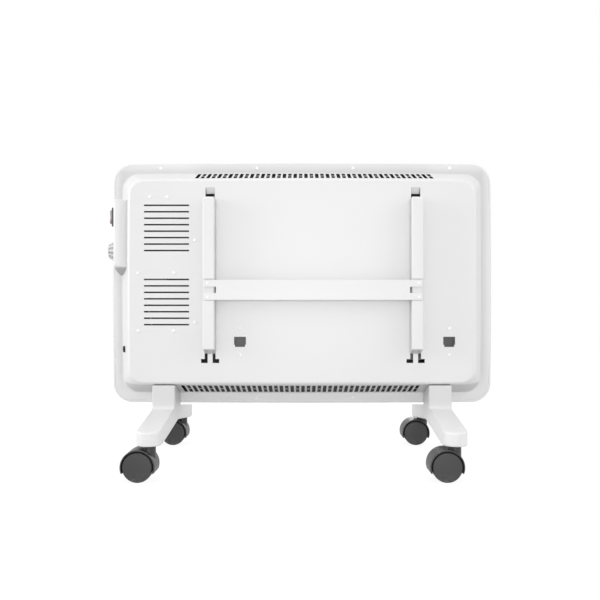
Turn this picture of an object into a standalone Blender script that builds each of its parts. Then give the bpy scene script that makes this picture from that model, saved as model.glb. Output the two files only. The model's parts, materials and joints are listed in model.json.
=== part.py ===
"""A panel convector heater on castor feet, with its wall bracket stored on its back.

Metres, +Z up. The origin is on the floor under the middle of the heater. The front faces -Y, the
rear casing +Y, and the controls are on the right side, +X. The body is built in a frame of its
own: x across from the middle of the panel, y behind the plane of the casing's flange, and z up
from the middle of the panel. Each foot and each castor has a frame of its own too.
"""

import math

import bmesh
import bpy
from mathutils import Matrix, Vector

# Fits
FIT = 0.0003
OVERRUN = 0.003
WELD = 0.000003

# Front panel: a folded tray whose return lip carries the casing's flange
PANEL_WIDTH = 0.640
PANEL_HEIGHT = 0.405
PANEL_RISE = 0.0915
PANEL_DEPTH = 0.014
PANEL_SHEET = 0.0012
PANEL_CORNER = 0.032
PANEL_BORDER = 0.017
EDGE_BOW = 0.0016
FRONT_EDGE = 0.005
REAR_EDGE = 0.002
RIM_WIDTH = 0.004
LIP_WIDTH = 0.0155

# Rear casing: a pressed pan with slanted walls
CASING_DEPTH = 0.056
CASING_SHEET = 0.001
SIDE_DRAFT = 0.023
TOP_DRAFT = 0.0205
BASE_CORNER = 0.026
FACE_CORNER = 0.021
BASE_BEND = 0.003
FACE_BEND = 0.006
FLANGE_Y = -0.020

# Vent rows in the casing's top and bottom walls
VENT_COUNT = 44
VENT_RUN_SHARE = 0.6313
VENT_SLOT_SHARE = 0.62
VENT_START_SHARE = 0.07
VENT_END_SHARE = 0.81
VENT_BRIDGE = 0.002
VENT_SHORTENING = 0.0004
TOP_VENT_SHIFT_SHARE = -0.066
BOTTOM_VENT_SHIFT_SHARE = 0.009

# Louvres of the electrics compartment: places are shares of half the rear face
LOUVRE_COUNT = 8
LOUVRE_LENGTH = 0.0724
LOUVRE_SLOT = 0.0025
LOUVRE_PITCH = 0.0104
LOUVRE_X_SHARE = 0.7786
LOUVRE_TOP_SHARES = (0.7447, 0.0217)

# Element supports, whose ends fill two square openings in the rear face
SUPPORT_X_SHARES = {"right": 0.3564, "left": -0.8457}
SUPPORT_Z_SHARE = -0.587
SUPPORT_WIDTH = 0.0191
SUPPORT_HEIGHT = 0.0164
SUPPORT_NOTCH = 0.0015
SUPPORT_NOTCH_RISE = 0.0035
SUPPORT_PLATE = 0.003
SUPPORT_MARGIN = 0.003
SUPPORT_RECESS = 0.0026
SUPPORT_RIM = 0.0018
SUPPORT_SINK = 0.0002
SUPPORT_STUD_REACH = 0.0213
SUPPORT_PLATE_REACH = 0.0255
SUPPORT_ARM = 0.009

# Heating element
ELEMENT_DEPTH_SHARE = 0.5
ELEMENT_HEIGHT = 0.062
ELEMENT_THICKNESS = 0.036
ELEMENT_HUB = 0.0075
ELEMENT_FIN_COUNT = 10
ELEMENT_FIN = 0.0022
ELEMENT_SETBACK = 0.004
SHEATH_RADIUS = 0.004
SHEATH_END = 0.010
TERMINAL_RADIUS = 0.0015
TERMINAL_LENGTH = 0.009

# Electrics compartment
PARTITION_SHEET = 0.0012
PARTITION_X_SHARE = 0.5896
PARTITION_TAB = 0.013
PARTITION_TAB_RISE = 0.010
PARTITION_TOP_SHARE = 0.84
PARTITION_BOTTOM_SHARE = -0.60
PARTITION_STUD_SHARES = (0.406, -0.398)
PARTITION_CLEARANCE = 0.0005
WINDOW_SIZE = 0.012
WINDOW_Z_SHARES = (0.10, -0.52)
CARRIER_PLATE = 0.0015
CARRIER_MARGIN = 0.0055
CARRIER_HEIGHT = 0.011
CARRIER_SHARES = {
    "harness_clip": (0.8245, 0.8255),
    "tip_over_switch": (0.8388, 0.0842),
    "terminal_block": (0.8391, -0.4812),
}
CLIP_SPAN = 0.0283
CLIP_WIDTH = 0.016
CLIP_DEPTH = 0.007
CLIP_HEIGHT = 0.008
TILT_SPAN = 0.0579
TILT_WIDTH = 0.034
TILT_DEPTH = 0.016
TILT_HEIGHT = 0.022
BLOCK_SPAN = 0.0571
BLOCK_WIDTH = 0.038
BLOCK_DEPTH = 0.015
BLOCK_HEIGHT = 0.018
CUTOUT_RADIUS = 0.008
CUTOUT_THICKNESS = 0.006
CUTOUT_BUTTON_RADIUS = 0.0035
CUTOUT_BUTTON_RISE = 0.002
CUTOUT_Z_SHARE = -0.1

# Studs of the casing and screws of the border
STUD_RADIUS = 0.0013
STUD_LENGTH = 0.006
DOME_RADIUS = 0.0026
DOME_SHOULDER = 0.0006
DOME_RISE = 0.0015
DOME_FLAT = 0.0003
DOME_CROWN_SHARE = 0.6
SCREW_LENGTH = 0.007
TOP_SCREW_SHARES = (0.7444, 0.2375, -0.2691, -0.7788)
BOTTOM_SCREW_SHARES = (0.2375, -0.2691)
SCREW_BORDER_SHARE = 0.53

# Control box on the right wall
BOX_DEPTH = 0.046
BOX_PROUD = 0.004
BOX_WALL = 0.0018
BOX_ROUND = 0.004
BOX_FOOT = 0.0014
BOX_TOE = 0.004
BOX_TOP_SHARE = 0.8182
BOX_BOTTOM_SHARE = 0.149
BOX_SLANT = 0.0116

# Rocker switch
SWITCH_Z_SHARE = 0.6515
SWITCH_LENGTH = 0.031
SWITCH_WIDTH = 0.0156
SWITCH_FLANGE = 0.0058
SWITCH_RIM = 0.0024
SWITCH_BODY_DEPTH = 0.011
SWITCH_BODY_MARGIN = 0.001
SWITCH_POCKET = 0.008
ROCKER_RISE = 0.0038
ROCKER_PIVOT_SINK = 0.0035
ROCKER_BELOW_PIVOT = 0.0022
ROCKER_END_GAP = 0.0006
ROCKER_CREST_SHARE = 0.80
ROCKER_DISH = 0.0006
ROCKER_PIN_RADIUS = 0.001
ROCKER_PIN_LENGTH = 0.0008

# Thermostat and its knob
KNOB_Z_SHARE = 0.3127
KNOB_RADIUS = 0.0157
KNOB_GAP = 0.0005
KNOB_SKIRT = 0.0055
KNOB_GRIP_RADIUS = 0.0136
KNOB_GRIP_TOP_SHARE = 0.94
KNOB_HEIGHT = 0.0109
KNOB_EDGE = 0.001
KNOB_RECESS_RADIUS = 0.007
KNOB_RECESS = 0.0022
KNOB_BORE = 0.005
SHAFT_RADIUS = 0.003
THERMOSTAT_SIZE = 0.026
THERMOSTAT_DEPTH = 0.016
THERMOSTAT_SOCKET = 0.009
BUSH_RADIUS = 0.0045
BUSH_PROUD = 0.0012
CASING_WINDOW_GAP = 0.0015
SWITCH_WINDOW = 0.024

# Cord inlet on the right wall
INLET_Z_SHARE = -0.670
INLET_DEPTH_SHARE = 0.357
INLET_RADIUS = 0.0054
INLET_NECK_RADIUS = 0.0045
INLET_BORE_RADIUS = 0.0032
INLET_BORE_DEPTH = 0.004
INLET_LIP = 0.0014
INLET_NECK = 0.006

# Wall bracket: two channels and a cross strip, hooked into the rear face
CHANNEL_X_SHARES = {"right": 0.5279, "left": -0.6529}
CHANNEL_TOP_SHARE = 0.8097
CHANNEL_BOTTOM_SHARE = -0.6509
CHANNEL_WIDTH = 0.019
CHANNEL_STANDOFF = 0.022
CHANNEL_SHEET = 0.0015
CHANNEL_NOSE = 0.003
CHANNEL_DROP = 0.0085
HOOK_WIDTH = 0.012
HOOK_TIP = 0.006
HOOK_OPENING_WIDTH = 0.0147
HOOK_OPENING_RISE = 0.0077
LATCH_INNER = 0.004
LATCH_OUTER = 0.0087
LATCH_TOE = 0.0146
LATCH_TOE_HEIGHT = 0.0065
LATCH_DROP = 0.0235
LATCH_RISE = 0.0045
LATCH_CLEARANCE = 0.0006
PRONG_WIDTH = 0.003
PRONG_HEIGHT = 0.0035
PRONG_REACH = 0.004
STRIP_HEIGHT = 0.032
STRIP_Z_SHARE = -0.0836
STRIP_SHEET = 0.0015
STRIP_RECESS = 0.0024
STRIP_RECESS_MARGIN = 0.0015
STRIP_LAP = 0.0076
STRIP_FORK_HEIGHT = 0.0095
STRIP_FORK_REACH = 0.0025
RIVET_RADIUS = 0.0015
RIVET_HEAD_RADIUS = 0.0026
RIVET_HEAD_RISE = 0.0005
RIVET_TAIL = 0.001
RIVET_SPACING = 0.0221
RIVET_SHIFT = 0.002

# Feet
FOOT_SPACING = 0.446
FOOT_WIDTH = 0.0364
WHEELBASE = 0.280
ARCH_CROWN = 0.067
BEAM_UNDERSIDE = 0.0513
BEAM_END_TOP = 0.0715
BEAM_CROWN = 0.0893
BEAM_END_MARGIN = 0.0182
BEAM_PAD = 0.012
FOOT_SOFTEN = 0.002
STEM_CHAMFER = 0.0035
STEM_SHOULDER = 0.0075
FOOT_SCREW_RADIUS = 0.002
FOOT_SCREW_HEAD_RADIUS = 0.004
FOOT_SCREW_HEAD = 0.0025
FOOT_SCREW_GRIP = 0.012
FOOT_SCREW_BITE = 0.005
FOOT_SCREW_DEPTH_SHARES = {"front": 0.27, "rear": 0.73}

# Castors
WHEEL_RADIUS = 0.022
WHEEL_DISC_RADIUS = 0.0204
WHEEL_CHAMFER = 0.0012
CASTOR_WIDTH = 0.040
CASTOR_TRAIL = 0.0138
HOOD_RADIUS = 0.0252
HOOD_SHELL = 0.002
HOOD_WIDTH = 0.037
HOOD_WEB = 0.0036
HOOD_DROP = 0.0087
BOSS_RADIUS = 0.0095
BOSS_ROOT = 0.010
STEM_RADIUS = 0.004
STEM_SEAT = 0.0075
STEM_RISE = 0.0145
COLLAR_RADIUS = 0.0062
COLLAR_HEIGHT = 0.0008
AXLE_RADIUS = 0.0025
AXLE_SETBACK = 0.002

# Internal leads
LEAD_RADIUS = 0.0012
LEAD_STUB = 0.0048
LEAD_BEND = 0.0144
LEAD_SPAN_STEPS = 3

# Facets
BEND_STEPS = 3
CORNER_STEPS = 5
SIDE_STEPS = 4
SMALL_SIDES = 8
PIN_SIDES = 12
KNOB_SIDES = 24
WHEEL_SIDES = 20
HOOD_SIDES = 28
LEAD_RESOLUTION = 2
SMOOTH_ANGLE = math.radians(35)

# Sizes that follow
PANEL_HALF_WIDTH = PANEL_WIDTH / 2
PANEL_HALF_HEIGHT = PANEL_HEIGHT / 2
PANEL_CENTRE_Z = PANEL_RISE + PANEL_HALF_HEIGHT
BASE_HALF_WIDTH = PANEL_HALF_WIDTH - PANEL_BORDER
BASE_HALF_HEIGHT = PANEL_HALF_HEIGHT - PANEL_BORDER
FACE_HALF_WIDTH = BASE_HALF_WIDTH - SIDE_DRAFT
FACE_HALF_HEIGHT = BASE_HALF_HEIGHT - TOP_DRAFT
INNER_FACE = CASING_DEPTH - CASING_SHEET - FIT
LIP_STEP = CASING_SHEET + FIT
ELEMENT_DEPTH = ELEMENT_DEPTH_SHARE * CASING_DEPTH
SUPPORT_Z = SUPPORT_Z_SHARE * FACE_HALF_HEIGHT
SUPPORT_HALF_WIDTH = SUPPORT_WIDTH / 2 + SUPPORT_MARGIN
PARTITION_X = PARTITION_X_SHARE * FACE_HALF_WIDTH
PARTITION_STUD_X = PARTITION_X + (PARTITION_SHEET + PARTITION_TAB) / 2
CARRIER_SPANS = {"harness_clip": CLIP_SPAN, "tip_over_switch": TILT_SPAN, "terminal_block": BLOCK_SPAN}
CARRIER_BODIES = {
    "harness_clip": (CLIP_WIDTH, CLIP_DEPTH, CLIP_HEIGHT),
    "tip_over_switch": (TILT_WIDTH, TILT_DEPTH, TILT_HEIGHT),
    "terminal_block": (BLOCK_WIDTH, BLOCK_DEPTH, BLOCK_HEIGHT),
}
STUD_HOLE = STUD_RADIUS + FIT
BOX_SIDE = BASE_HALF_WIDTH + BOX_PROUD
BOX_INSIDE = BOX_SIDE - BOX_WALL - FIT
BOX_MIDDLE = BOX_DEPTH / 2
BOX_TOP = BOX_TOP_SHARE * FACE_HALF_HEIGHT
BOX_BOTTOM = BOX_BOTTOM_SHARE * FACE_HALF_HEIGHT
SWITCH_Z = SWITCH_Z_SHARE * FACE_HALF_HEIGHT
SWITCH_FACE = BOX_SIDE + FIT + SWITCH_FLANGE
ROCKER_HALF_LENGTH = SWITCH_LENGTH / 2 - SWITCH_RIM - ROCKER_END_GAP
ROCKER_HALF_WIDTH = SWITCH_WIDTH / 2 - SWITCH_RIM - FIT
KNOB_Z = KNOB_Z_SHARE * FACE_HALF_HEIGHT
KNOB_BACK = BOX_SIDE + KNOB_GAP
CHANNEL_BACK = CASING_DEPTH + FIT
CHANNEL_FRONT = CASING_DEPTH + CHANNEL_STANDOFF
CHANNEL_TOP = CHANNEL_TOP_SHARE * FACE_HALF_HEIGHT
CHANNEL_BOTTOM = CHANNEL_BOTTOM_SHARE * FACE_HALF_HEIGHT
CHANNEL_FOOT = CHANNEL_BOTTOM - CHANNEL_DROP
STRIP_Z = STRIP_Z_SHARE * FACE_HALF_HEIGHT
STRIP_BACK = CHANNEL_FRONT - STRIP_RECESS + FIT
RECESS_HALF_HEIGHT = STRIP_HEIGHT / 2 + STRIP_RECESS_MARGIN
SCREW_INSET = SCREW_BORDER_SHARE * PANEL_BORDER
COLLAR_TOP = BEAM_UNDERSIDE - FIT
BOSS_TOP = COLLAR_TOP - COLLAR_HEIGHT - FIT

# Finishes: linear colour, roughness, metallic
FINISHES = {
    "white_paint": ((0.84, 0.84, 0.84), 0.38, 0.0),
    "white_moulding": ((0.86, 0.86, 0.86), 0.42, 0.0),
    "black_moulding": ((0.055, 0.055, 0.057), 0.45, 0.0),
    "castor_moulding": ((0.068, 0.068, 0.070), 0.42, 0.0),
    "grey_moulding": ((0.60, 0.60, 0.60), 0.40, 0.0),
    "rocker_moulding": ((0.33, 0.30, 0.31), 0.35, 0.0),
    "zinc_plate": ((0.66, 0.66, 0.65), 0.32, 1.0),
    "aluminium": ((0.72, 0.72, 0.73), 0.40, 1.0),
    "heat_sheath": ((0.30, 0.29, 0.27), 0.45, 1.0),
    "lead_sleeve": ((0.70, 0.68, 0.62), 0.55, 0.0),
}


def clear_scene():
    """Remove every object of the open scene."""
    for obj in list(bpy.data.objects):
        bpy.data.objects.remove(obj, do_unlink=True)


def finish(name):
    """The material of this name, made the first time it is asked for."""
    material = bpy.data.materials.get(name)
    if material is None:
        colour, roughness, metallic = FINISHES[name]
        material = bpy.data.materials.new(name)
        material.use_nodes = True
        shader = material.node_tree.nodes["Principled BSDF"]
        shader.inputs["Base Color"].default_value = (*colour, 1.0)
        shader.inputs["Roughness"].default_value = roughness
        shader.inputs["Metallic"].default_value = metallic
        material.diffuse_color = (*colour, 1.0)
    return material


def frame_at(name, place, parent=None):
    """An empty that carries other objects."""
    empty = bpy.data.objects.new(name, None)
    empty.location = place
    empty.parent = parent
    bpy.context.scene.collection.objects.link(empty)
    return empty


def mesh_of(name, bm, finish_name=None):
    """The bmesh as a mesh with its finish, shaded smooth up to its sharp edges."""
    bmesh.ops.recalc_face_normals(bm, faces=bm.faces)
    mesh = bpy.data.meshes.new(name)
    bm.to_mesh(mesh)
    bm.free()
    if finish_name:
        mesh.shade_smooth()
        mesh.set_sharp_from_angle(angle=SMOOTH_ANGLE)
        mesh.materials.append(finish(finish_name))
    return mesh


def place_object(name, mesh, parent, place=(0, 0, 0)):
    """A named object of this mesh on its parent."""
    obj = bpy.data.objects.new(name, mesh)
    obj.location = place
    obj.parent = parent
    bpy.context.scene.collection.objects.link(obj)
    return obj


def piece(name, bm, finish_name, parent, place=(0, 0, 0)):
    """A sub-part made from a bmesh."""
    return place_object(name, mesh_of(name, bm, finish_name), parent, place)


def combine(obj, name, bm, operation="DIFFERENCE"):
    """Cut the bmesh's shape from an object, or join it on: the helper is never rendered."""
    helper = place_object(name, mesh_of(name, bm), obj)
    helper.hide_render = True
    helper.display_type = "WIRE"
    modifier = obj.modifiers.new(name, "BOOLEAN")
    modifier.operation = operation
    modifier.object = helper
    modifier.solver = "EXACT"


def add_box(bm, low, high):
    """A box between two corners."""
    low, high = Vector(low), Vector(high)
    matrix = Matrix.Translation((low + high) / 2) @ Matrix.Diagonal((*(high - low), 1))
    bmesh.ops.create_cube(bm, size=1, matrix=matrix)


def turn_to(axis):
    """The rotation that takes +Z to this axis."""
    return Vector((0, 0, 1)).rotation_difference(Vector(axis)).to_matrix().to_4x4()


def add_rod(bm, start, axis, length, radius, sides=PIN_SIDES):
    """A round rod from its start along an axis."""
    direction = Vector(axis).normalized()
    middle = Vector(start) + direction * (length / 2)
    bmesh.ops.create_cone(
        bm,
        cap_ends=True,
        segments=sides,
        radius1=radius,
        radius2=radius,
        depth=length,
        matrix=Matrix.Translation(middle) @ turn_to(direction),
    )


def add_turned(bm, profile, start=(0, 0, 0), axis=(0, 0, 1), sides=PIN_SIDES):
    """A body turned from (radius, height) points that begin and end on the axis."""
    half_side = Matrix.Rotation(math.pi / sides, 4, "Z")
    matrix = Matrix.Translation(Vector(start)) @ turn_to(axis) @ half_side
    verts = [bm.verts.new(matrix @ Vector((radius, 0, height))) for radius, height in profile]
    edges = [bm.edges.new(pair) for pair in zip(verts, verts[1:])]
    bmesh.ops.spin(
        bm,
        geom=verts + edges,
        cent=Vector(start),
        axis=Vector(axis).normalized(),
        angle=math.tau,
        steps=sides,
        use_merge=True,
    )
    bmesh.ops.remove_doubles(bm, verts=bm.verts, dist=WELD)


def add_prism(bm, outline, shift):
    """A prism between an outline and the same outline shifted."""
    base = bm.faces.new([bm.verts.new(point) for point in outline])
    grown = bmesh.ops.extrude_face_region(bm, geom=[base], use_keep_orig=True)["geom"]
    moved = [item for item in grown if isinstance(item, bmesh.types.BMVert)]
    bmesh.ops.translate(bm, vec=Vector(shift), verts=moved)


def skin(bm, rings):
    """A closed body through rings of points, capped on its first and last ring."""
    loops = [[bm.verts.new(point) for point in ring] for ring in rings]
    count = len(loops[0])
    for lower, upper in zip(loops, loops[1:]):
        for here in range(count):
            there = (here + 1) % count
            bm.faces.new((lower[here], lower[there], upper[there], upper[here]))
    bm.faces.new(loops[0])
    bm.faces.new(loops[-1])


def rounded_path(corners):
    """Path points from (x, y, radius) corners, with an arc at each corner that has a radius."""
    path = []
    for index, (x, y, radius) in enumerate(corners):
        here = Vector((x, y))
        if radius == 0:
            path.append(here)
            continue
        before = (Vector(corners[index - 1][:2]) - here).normalized()
        after = (Vector(corners[index + 1][:2]) - here).normalized()
        half_angle = before.angle(after) / 2
        centre = here + (before + after).normalized() * (radius / math.sin(half_angle))
        reach = radius / math.tan(half_angle)
        start = (here + before * reach - centre).normalized()
        end = (here + after * reach - centre).normalized()
        for step in range(BEND_STEPS + 1):
            path.append(centre + start.slerp(end, step / BEND_STEPS) * radius)
    return path


def offset_path(path, distance):
    """The path moved to its right by a distance, with mitred corners."""
    moved = []
    for index, point in enumerate(path):
        runs = []
        if index > 0:
            runs.append((point - path[index - 1]).normalized())
        if index < len(path) - 1:
            runs.append((path[index + 1] - point).normalized())
        normals = [Vector((run.y, -run.x)) for run in runs]
        middle = (normals[0] + normals[-1]).normalized()
        moved.append(point + middle * (distance / middle.dot(normals[0])))
    return moved


def outline_ring(half_width, half_height, radius, depth):
    """A rounded rectangle with slightly bowed sides, at this depth behind the flange's plane."""
    width, height = half_width - EDGE_BOW, half_height - EDGE_BOW
    arcs = []
    for quarter in range(4):
        side_x = 1 if quarter in (0, 3) else -1
        side_z = 1 if quarter in (0, 1) else -1
        for step in range(CORNER_STEPS + 1):
            angle = math.pi / 2 * (quarter + step / CORNER_STEPS)
            x = side_x * (width - radius) + radius * math.cos(angle)
            z = side_z * (height - radius) + radius * math.sin(angle)
            arcs.append(Vector((x, z)))
    points = []
    for index, point in enumerate(arcs):
        points.append(point)
        if index % (CORNER_STEPS + 1) == CORNER_STEPS:
            following = arcs[(index + 1) % len(arcs)]
            points += [point.lerp(following, step / SIDE_STEPS) for step in range(1, SIDE_STEPS)]
    ring = []
    for x, z in points:
        out_x = EDGE_BOW * (1 - (z / height) ** 2) * x / width
        out_z = EDGE_BOW * (1 - (x / width) ** 2) * z / height
        ring.append((x + out_x, depth, z + out_z))
    return ring


def side_inset(inset):
    """The inset of a side wall where the top wall has this inset."""
    if inset <= PANEL_BORDER:
        return inset
    return PANEL_BORDER + (inset - PANEL_BORDER) * SIDE_DRAFT / TOP_DRAFT


def casing_corner(inset):
    """The casing's outer corner radius at this inset from the panel's edge."""
    start = RIM_WIDTH + FIT
    if inset < PANEL_BORDER:
        share = (inset - start) / (PANEL_BORDER - start)
        return PANEL_CORNER - start + (BASE_CORNER - PANEL_CORNER + start) * share
    return BASE_CORNER + (FACE_CORNER - BASE_CORNER) * (inset - PANEL_BORDER) / TOP_DRAFT


def wall_x(depth, z=0):
    """The outer face of the right wall at a depth and a height."""
    share = depth / CASING_DEPTH
    half_height = BASE_HALF_HEIGHT - TOP_DRAFT * share - EDGE_BOW
    return BASE_HALF_WIDTH - SIDE_DRAFT * share - EDGE_BOW * (z / half_height) ** 2


def floor_z(depth, x=0):
    """The outer face of the bottom wall at a depth and a place across."""
    share = depth / CASING_DEPTH
    half_width = BASE_HALF_WIDTH - SIDE_DRAFT * share - EDGE_BOW
    return TOP_DRAFT * share - BASE_HALF_HEIGHT + EDGE_BOW * (x / half_width) ** 2


def on_face(x_share, z_share):
    """A place on the rear face from shares of its half width and half height."""
    return x_share * FACE_HALF_WIDTH, z_share * FACE_HALF_HEIGHT


def carrier_studs(name):
    """The two studs that carry this part of the electrics."""
    x, z = on_face(*CARRIER_SHARES[name])
    half_span = CARRIER_SPANS[name] / 2
    return [(x - half_span, z), (x + half_span, z)]


def stud_places():
    """Where the casing's twelve studs stand on its rear face."""
    places = [(PARTITION_STUD_X, share * FACE_HALF_HEIGHT) for share in PARTITION_STUD_SHARES]
    for name in CARRIER_SHARES:
        places += carrier_studs(name)
    for share in SUPPORT_X_SHARES.values():
        x = share * FACE_HALF_WIDTH
        places += [(x, SUPPORT_Z - SUPPORT_STUD_REACH), (x, SUPPORT_Z + SUPPORT_STUD_REACH)]
    return places


def screw_places():
    """Where the border's six screws stand."""
    height = PANEL_HALF_HEIGHT - SCREW_INSET
    top = [(share * PANEL_HALF_WIDTH, height) for share in TOP_SCREW_SHARES]
    bottom = [(share * PANEL_HALF_WIDTH, -height) for share in BOTTOM_SCREW_SHARES]
    return top + bottom


def dome_profile(length, seat):
    """A shank of this length below the face, and a domed head on it from its seat."""
    return (
        (0, -length),
        (STUD_RADIUS, -length),
        (STUD_RADIUS, seat),
        (DOME_RADIUS, seat),
        (DOME_RADIUS, DOME_SHOULDER),
        (DOME_RADIUS * DOME_CROWN_SHARE, DOME_RISE - DOME_FLAT),
        (0, DOME_RISE),
    )


def make_front_panel(body):
    """The tray: front, rolled edge, and the lip that the casing's flange lies on."""
    outer = rounded_path([
        (PANEL_BORDER, -PANEL_DEPTH, 0),
        (0, -PANEL_DEPTH, FRONT_EDGE),
        (0, 0, REAR_EDGE),
        (RIM_WIDTH, 0, 0),
        (RIM_WIDTH, -LIP_STEP, 0),
        (LIP_WIDTH, -LIP_STEP, 0),
    ])
    inner = offset_path(outer, PANEL_SHEET)
    rings = []
    for inset, depth in outer + inner[::-1]:
        sizes = (PANEL_HALF_WIDTH - inset, PANEL_HALF_HEIGHT - inset, PANEL_CORNER - inset)
        rings.append(outline_ring(*sizes, depth))
    bm = bmesh.new()
    skin(bm, rings)
    panel = piece("front_panel", bm, "white_paint", body)
    bm = bmesh.new()
    for x, z in screw_places():
        start = (x, -LIP_STEP - PANEL_SHEET - OVERRUN, z)
        add_rod(bm, start, (0, 1, 0), PANEL_SHEET + 2 * OVERRUN, STUD_HOLE, SMALL_SIDES)
    combine(panel, "panel_screw_holes", bm)


def make_rear_casing(body):
    """The pressed pan with its flange, vents, louvres, openings and studs."""
    inner_end = PANEL_BORDER + TOP_DRAFT + FACE_BEND
    outer = rounded_path([
        (RIM_WIDTH + FIT, 0, 0),
        (PANEL_BORDER, 0, BASE_BEND),
        (PANEL_BORDER + TOP_DRAFT, CASING_DEPTH, FACE_BEND),
        (inner_end, CASING_DEPTH, 0),
    ])
    inner = offset_path(outer, CASING_SHEET)
    outer_rings, inner_rings = [], []
    for (inset, depth), (inner_inset, inner_depth) in zip(outer, inner):
        radius = casing_corner(inset)
        sizes = (PANEL_HALF_WIDTH - side_inset(inset), PANEL_HALF_HEIGHT - inset)
        outer_rings.append(outline_ring(*sizes, radius, depth))
        radius -= inner_inset - inset
        sizes = (PANEL_HALF_WIDTH - side_inset(inner_inset), PANEL_HALF_HEIGHT - inner_inset)
        inner_rings.append(outline_ring(*sizes, radius, inner_depth))
    bm = bmesh.new()
    skin(bm, outer_rings[::-1] + inner_rings)
    casing = piece("rear_casing", bm, "white_paint", body)
    combine(casing, "casing_studs", casing_studs(), "UNION")
    combine(casing, "vent_slots", vent_slots())
    combine(casing, "face_openings", face_openings())
    combine(casing, "side_openings", side_openings())
    combine(casing, "fixing_holes", fixing_holes())


def casing_studs():
    """Studs through the rear face: domes outside, shanks inside for the parts they carry."""
    bm = bmesh.new()
    profile = dome_profile(STUD_LENGTH, -CASING_SHEET / 2)
    for x, z in stud_places():
        add_turned(bm, profile, (x, CASING_DEPTH, z), (0, 1, 0), SMALL_SIDES)
    return bm


def vent_slots():
    """Cutters for the two vent rows: every second slot is crossed by a bridge."""
    run = VENT_RUN_SHARE * 2 * BASE_HALF_WIDTH
    pitch = run / (VENT_COUNT - 1)
    half_slot = VENT_SLOT_SHARE * pitch / 2
    start, end = VENT_START_SHARE * CASING_DEPTH, VENT_END_SHARE * CASING_DEPTH
    middle = (start + end) / 2
    low = BASE_HALF_HEIGHT - TOP_DRAFT - OVERRUN
    high = BASE_HALF_HEIGHT + OVERRUN
    bm = bmesh.new()
    for side, shift_share in ((1, TOP_VENT_SHIFT_SHARE), (-1, BOTTOM_VENT_SHIFT_SHARE)):
        bottom, top = sorted((side * low, side * high))
        for index in range(VENT_COUNT):
            x = shift_share * BASE_HALF_WIDTH - run / 2 + pitch * index
            spans = [(start, end)]
            if index % 2 == 0:
                near_end, far_end = start + VENT_SHORTENING, end - VENT_SHORTENING
                spans = [(near_end, middle - VENT_BRIDGE / 2), (middle + VENT_BRIDGE / 2, far_end)]
            for near, far in spans:
                add_box(bm, (x - half_slot, near, bottom), (x + half_slot, far, top))
    return bm


def support_outline(x, margin):
    """The outline of an element support's end: a square with its lower corners notched."""
    half_width = SUPPORT_WIDTH / 2 - margin
    half_height = SUPPORT_HEIGHT / 2 - margin
    waist = half_width - SUPPORT_NOTCH
    step = SUPPORT_NOTCH_RISE - half_height
    corners = [
        (-half_width, half_height),
        (-half_width, step),
        (-waist, step),
        (-waist, -half_height),
        (waist, -half_height),
        (waist, step),
        (half_width, step),
        (half_width, half_height),
    ]
    return [(x + across, SUPPORT_Z + up) for across, up in corners]


def face_openings():
    """Cutters for the rear face: louvres, support ends, hook openings and latch slots."""
    near, depth = INNER_FACE - OVERRUN, CASING_SHEET + 2 * OVERRUN
    bm = bmesh.new()
    x = LOUVRE_X_SHARE * FACE_HALF_WIDTH
    for top_share in LOUVRE_TOP_SHARES:
        for index in range(LOUVRE_COUNT):
            z = top_share * FACE_HALF_HEIGHT - LOUVRE_PITCH * index
            half = (LOUVRE_LENGTH / 2, LOUVRE_SLOT / 2)
            add_box(bm, (x - half[0], near, z - half[1]), (x + half[0], near + depth, z + half[1]))
    for share in SUPPORT_X_SHARES.values():
        outline = support_outline(share * FACE_HALF_WIDTH, 0)
        add_prism(bm, [(px, near, pz) for px, pz in outline], (0, depth, 0))
    for share in CHANNEL_X_SHARES.values():
        x = share * FACE_HALF_WIDTH
        low = (x - HOOK_OPENING_WIDTH / 2, near, CHANNEL_TOP - CHANNEL_SHEET - LATCH_CLEARANCE)
        high = (x + HOOK_OPENING_WIDTH / 2, near + depth, CHANNEL_TOP + HOOK_OPENING_RISE)
        add_box(bm, low, high)
        for side in (-1, 1):
            outline = [(x + side * across, near, up) for across, up in latch_outline()]
            add_prism(bm, outline, (0, depth, 0))
    return bm


def latch_outline():
    """An L-shaped latch slot, as (outwards from the channel's middle, up)."""
    bottom = CHANNEL_BOTTOM - LATCH_DROP
    top = CHANNEL_FOOT + LATCH_RISE
    return [
        (LATCH_INNER, bottom),
        (LATCH_TOE, bottom),
        (LATCH_TOE, bottom + LATCH_TOE_HEIGHT),
        (LATCH_OUTER, bottom + LATCH_TOE_HEIGHT),
        (LATCH_OUTER, top),
        (LATCH_INNER, top),
    ]


def side_openings():
    """Cutters for the right wall: windows for the thermostat and for the switch's leads."""
    bm = bmesh.new()
    thermostat = THERMOSTAT_SIZE / 2 + CASING_WINDOW_GAP
    for z, half in ((KNOB_Z, thermostat), (SWITCH_Z, SWITCH_WINDOW / 2)):
        low = (wall_x(BOX_DEPTH) - OVERRUN, BOX_MIDDLE - half, z - half)
        high = (BASE_HALF_WIDTH + OVERRUN, BOX_MIDDLE + half, z + half)
        add_box(bm, low, high)
    return bm


def inlet_frame():
    """The cord inlet's place on the right wall, and the wall's outward normal."""
    depth = INLET_DEPTH_SHARE * CASING_DEPTH
    z = INLET_Z_SHARE * FACE_HALF_HEIGHT
    normal = Vector((CASING_DEPTH, SIDE_DRAFT, 0)).normalized()
    return Vector((wall_x(depth, z), depth, z)), normal


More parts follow.
